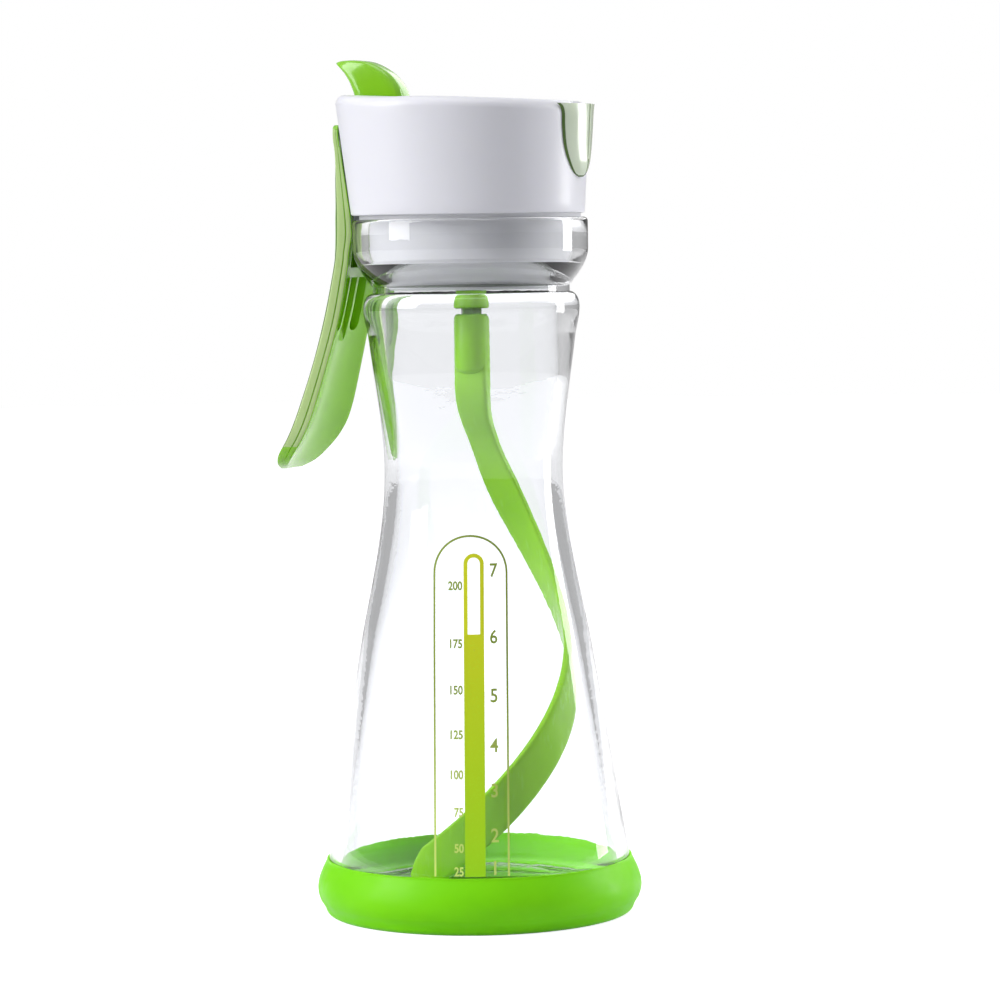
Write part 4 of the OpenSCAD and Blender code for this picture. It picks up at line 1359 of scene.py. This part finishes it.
@dataclass
class PourLever:
    """Thumb lever: a flat bar in the cap's channel with a horn at its back."""

    lid: Lid
    width: float = 8
    thickness: float = 3.2
    horn_x: float = 22
    pivot_r: float = 0.9
    tilt: float = 8
    clear: float = 0.25

    def seat(self) -> Shape:
        """Space that the pressed horn takes, grown by its clearance."""
        lid = self.lid
        pivot = Vector((lid.pivot_x, 0, lid.top_z(lid.pivot_x) - 3.4))
        room = Shape()
        for tilt in (self.tilt / 2, self.tilt + 0.8):
            horn = self.horn(self.clear)
            horn.bm.transform(
                Matrix.Translation(pivot) @ Matrix.Rotation(-math.radians(tilt), 4, "Y") @ Matrix.Translation(-pivot)
            )
            room = room.join(horn) if room.bm.faces else horn
        return room

    def horn(self, grow: float = 0) -> Shape:
        """Horn that curls back over the rim."""
        rows = [
            [5.7, -3, -7, -3, 1],
            [5.7, 0, -7.3, 0, 1],
            [4.4, 3, -7.9, 1.9, 0.98],
            [1.6, 6, -8.8, 3.9, 0.92],
            [-2.7, 8.4, -10, 5.7, 0.8],
            [-7, 9.1, -11.3, 7.1, 0.62],
            [-10.8, 9.1, -12.4, 8.1, 0.36],
            [-12.7, 8.75, -12.85, 8.5, 0.12],
        ]
        base = Vector((-self.horn_x, 0, self.lid.top_z(-self.horn_x)))
        rings = []
        for front_x, front_z, back_x, back_z, share in smooth_rows(rows, 10):
            front = base + Vector((front_x, 0, front_z))
            back = base + Vector((back_x, 0, back_z))
            across = (front - back).normalized()
            half_u, half_v = (front - back).length / 2 + grow, share * self.width / 2 + grow
            rings.append(rounded_ring((front + back) / 2, across, Vector((0, -1, 0)), half_u, half_v, 56, 0.42))
        return Shape.lofted(rings)

    def build(self) -> None:
        """Mould the lever."""
        lid, half = self.lid, self.width / 2
        back, front = lid.back_x + 1, lid.pour_x + 4
        outline = [
            (back, lid.top_z(back) - 0.3),
            (back, lid.top_z(back) - self.thickness),
            (front - 1, lid.top_z(front - 1) - self.thickness),
            (front, lid.top_z(front) - self.thickness + 1),
            (front, lid.top_z(front) - 1.3),
            (front - 1, lid.top_z(front - 1) - 0.3),
        ]
        pivot_z = lid.top_z(lid.pivot_x) - 3.4
        bar = Shape.side_cut(outline, (-half, half)).eased(0.35, 3, 25)
        knuckle = Shape.cross_rod(lid.pivot_x, pivot_z, half, self.pivot_r + 1.3)
        hole = Shape.cross_rod(lid.pivot_x, pivot_z, 10, self.pivot_r + 0.06)
        bar.join(knuckle, self.horn()).cut(hole).piece("thumb_lever", Body.POUR_LEVER, LIME, replaces=["pour_lever"])


@dataclass
class InnerWorks:
    """The construction's own nodes that stay as they are and take a better finish."""

    nodes: dict[str, bpy.types.Object]

    def build(self) -> None:
        """Dress each node."""
        finishes = {
            # The plug's white is darkened as painted shade.
            "plug_body": PLUG_GREY_PAINTED_SHADE,
            "plug_seal": RUBBER,
            "gear_deck": NATURAL,
            "deck_screws": STEEL,
            "drive_spindle": LIME,
            "spindle_bush": NATURAL,
            "spindle_clip": STEEL,
            "shaft_seal": RUBBER,
            "drive_rack": NATURAL,
            "idler_gear": NATURAL,
            "idler_axle": STEEL,
            "return_spring": STEEL,
            "trigger_pin": STEEL,
            "link_pin": STEEL,
            "pour_pin": STEEL,
            "spout_stopper": PAD_RUBBER,
        }
        for name, finish in finishes.items():
            node = self.nodes[name]
            node.data.materials.clear()
            node.data.materials.append(finish.material())
            LOG.info("%s: kept from the construction", name)


@dataclass
class Studio:
    """White sweep, soft lamps and the camera. Lengths here are in metres."""

    azimuth: float = 21
    distance: float = 0.988
    eye_z: float = 0.169
    lens: float = 144
    pitch: float = 3.86
    yaw: float = 0.37
    roll: float = 0.83
    floor_r: float = 3
    floor_glow: float = 0.85
    ambient: float = 0.3
    wall_grey: float = 0.25
    glass_grey: float = 0.5
    wall_ends: tuple[float, float] = (0.1, 0.75)
    floor_mirror: float = 0.6

    def floor(self) -> None:
        """Pale floor that shines white to the eye and keeps the object's shadow."""
        bm = bmesh.new()
        bmesh.ops.create_circle(bm, cap_ends=True, segments=96, radius=self.floor_r)
        mesh = bpy.data.meshes.new("studio_floor")
        bm.to_mesh(mesh)
        bm.free()
        floor = bpy.data.objects.new("studio_floor", mesh)
        bpy.context.scene.collection.objects.link(floor)
        graph = Graph(bpy.data.materials.new("white_sweep"))
        tone = graph.mix(graph.spread(graph.noise(400, 2), 0, 1), (0.72, 0.72, 0.73), (0.75, 0.75, 0.76))
        matt = graph.add("ShaderNodeBsdfDiffuse", {"Color": tone, "Roughness": 0.6}).outputs[0]
        mirrored = graph.add("ShaderNodeLightPath", {}).outputs["Glossy Depth"]
        strength = graph.spread(mirrored, self.floor_glow, self.floor_mirror, 0, 1)
        glow = graph.add("ShaderNodeEmission", {"Color": (1, 1, 1, 1), "Strength": strength}).outputs[0]
        both = graph.add("ShaderNodeAddShader", {0: matt, 1: glow}).outputs[0]
        top = graph.add("ShaderNodeMixShader", {0: self.seen(graph), 1: matt, 2: both}).outputs[0]
        back = graph.add("ShaderNodeNewGeometry", {}).outputs["Backfacing"]
        clear = graph.add("ShaderNodeBsdfTransparent", {}).outputs[0]
        under = graph.add("ShaderNodeMixShader", {0: back, 1: top, 2: clear}).outputs[0]
        graph.add("ShaderNodeOutputMaterial", {"Surface": under})
        mesh.materials.append(graph.block)

    def seen(self, graph: Graph) -> bpy.types.NodeSocket:
        """1 for a ray from the eye, also through glass or off a mirror, and 0 for one that lights a surface."""
        path = graph.add("ShaderNodeLightPath", {}).outputs
        shown = path["Is Camera Ray"]
        for kind in ("Is Glossy Ray", "Is Transmission Ray"):
            shown = graph.add("ShaderNodeMath", {0: shown, 1: path[kind]}, operation="MAXIMUM").outputs[0]
        straight = graph.add("ShaderNodeMath", {0: path["Diffuse Depth"], 1: 0.5}, operation="LESS_THAN").outputs[0]
        return graph.add("ShaderNodeMath", {0: shown, 1: straight}, operation="MULTIPLY").outputs[0]

    def world(self) -> None:
        """White surroundings to the eye, greyer in reflections near the horizon, and a low even light."""
        world = bpy.data.worlds.new("studio_world")
        bpy.context.scene.world = world
        graph = Graph(world)
        path = graph.add("ShaderNodeLightPath", {}).outputs
        mirrored = graph.add("ShaderNodeMath", {0: path["Glossy Depth"], 1: 0.5}, operation="GREATER_THAN").outputs[0]
        toward = graph.add("ShaderNodeTexCoord", {}).outputs["Generated"]
        height = graph.add("ShaderNodeSeparateXYZ", {"Vector": toward}).outputs["Z"]
        wall = graph.mix(
            graph.spread(path["Transmission Depth"], 0, 1, 0, 1), 3 * (self.wall_grey,), 3 * (self.glass_grey,)
        )
        room = graph.mix(graph.spread(height, 0, 1, *self.wall_ends), wall, (1, 1, 1))
        backdrop = graph.mix(mirrored, (1, 1, 1), room)
        shown = graph.add("ShaderNodeBackground", {"Color": backdrop, "Strength": 1.0}).outputs[0]
        light = graph.add("ShaderNodeBackground", {"Color": (0.96, 0.97, 1, 1), "Strength": self.ambient}).outputs[0]
        both = graph.add("ShaderNodeMixShader", {0: self.seen(graph), 1: light, 2: shown}).outputs[0]
        graph.add("ShaderNodeOutputWorld", {"Surface": both})

    def lamp(self, name: str, azimuth: float, elevation: float, away: float, size: tuple[float, float], power: float) -> None:
        """Soft box that looks at the object.

        Args:
            name: Name of the lamp.
            azimuth: Direction round the object, as the camera's own azimuth is counted.
            elevation: Height over the horizon.
            away: Distance.
            size: Width and height of the box.
            power: Power in watts.
        """
        data = bpy.data.lights.new(name, "AREA")
        data.shape = "RECTANGLE"
        data.size, data.size_y = size
        data.energy = power
        lamp = bpy.data.objects.new(name, data)
        bpy.context.scene.collection.objects.link(lamp)
        target = Vector((0, 0, 0.11))
        out = Vector((sind(azimuth) * cosd(elevation), -cosd(azimuth) * cosd(elevation), sind(elevation)))
        lamp.location = target + out * away
        lamp.visible_transmission = False
        lamp.rotation_euler = (-out).to_track_quat("-Z", "Y").to_euler()

    def camera(self) -> None:
        """Camera at the photographed angle."""
        data = bpy.data.cameras.new("camera")
        data.lens = self.lens
        data.sensor_width = 36
        data.clip_start = 0.05
        camera = bpy.data.objects.new("camera", data)
        bpy.context.scene.collection.objects.link(camera)
        a = self.azimuth
        camera.location = (self.distance * sind(a), -self.distance * cosd(a), self.eye_z)
        turn = Matrix.Rotation(math.radians(a - self.yaw), 4, "Z") @ Matrix.Rotation(math.radians(90 - self.pitch), 4, "X")
        turn = turn @ Matrix.Rotation(math.radians(-self.roll), 4, "Z")
        camera.rotation_euler = turn.to_euler()
        bpy.context.scene.camera = camera

    def build(self) -> None:
        """Set the stage."""
        bpy.context.scene.view_settings.view_transform = "Standard"
        self.camera()
        self.floor()
        self.world()
        self.lamp("key_box", -52, 26, 1.1, (0.5, 0.9), 8.2)
        self.lamp("rim_box", 130, 12, 1.1, (0.3, 0.9), 7)
        self.lamp("back_box", 170, 24, 1.1, (0.7, 0.5), 2.4)
        self.lamp("top_box", 10, 80, 1.0, (0.6, 0.6), 2.5)


def main() -> None:
    """Load the construction and dress it."""
    logging.basicConfig(level=logging.INFO, format="%(message)s")
    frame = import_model()
    Studio().build()
    bottle = Bottle()
    bottle.build()
    FillScale(bottle).build()
    Blade().build()
    lid = Lid()
    lever = PourLever(lid)
    lid.build(lever.seat())
    Trigger(lid).build()
    lever.build()
    InnerWorks(frame["nodes"]).build()


if __name__ == "__main__":
    main()
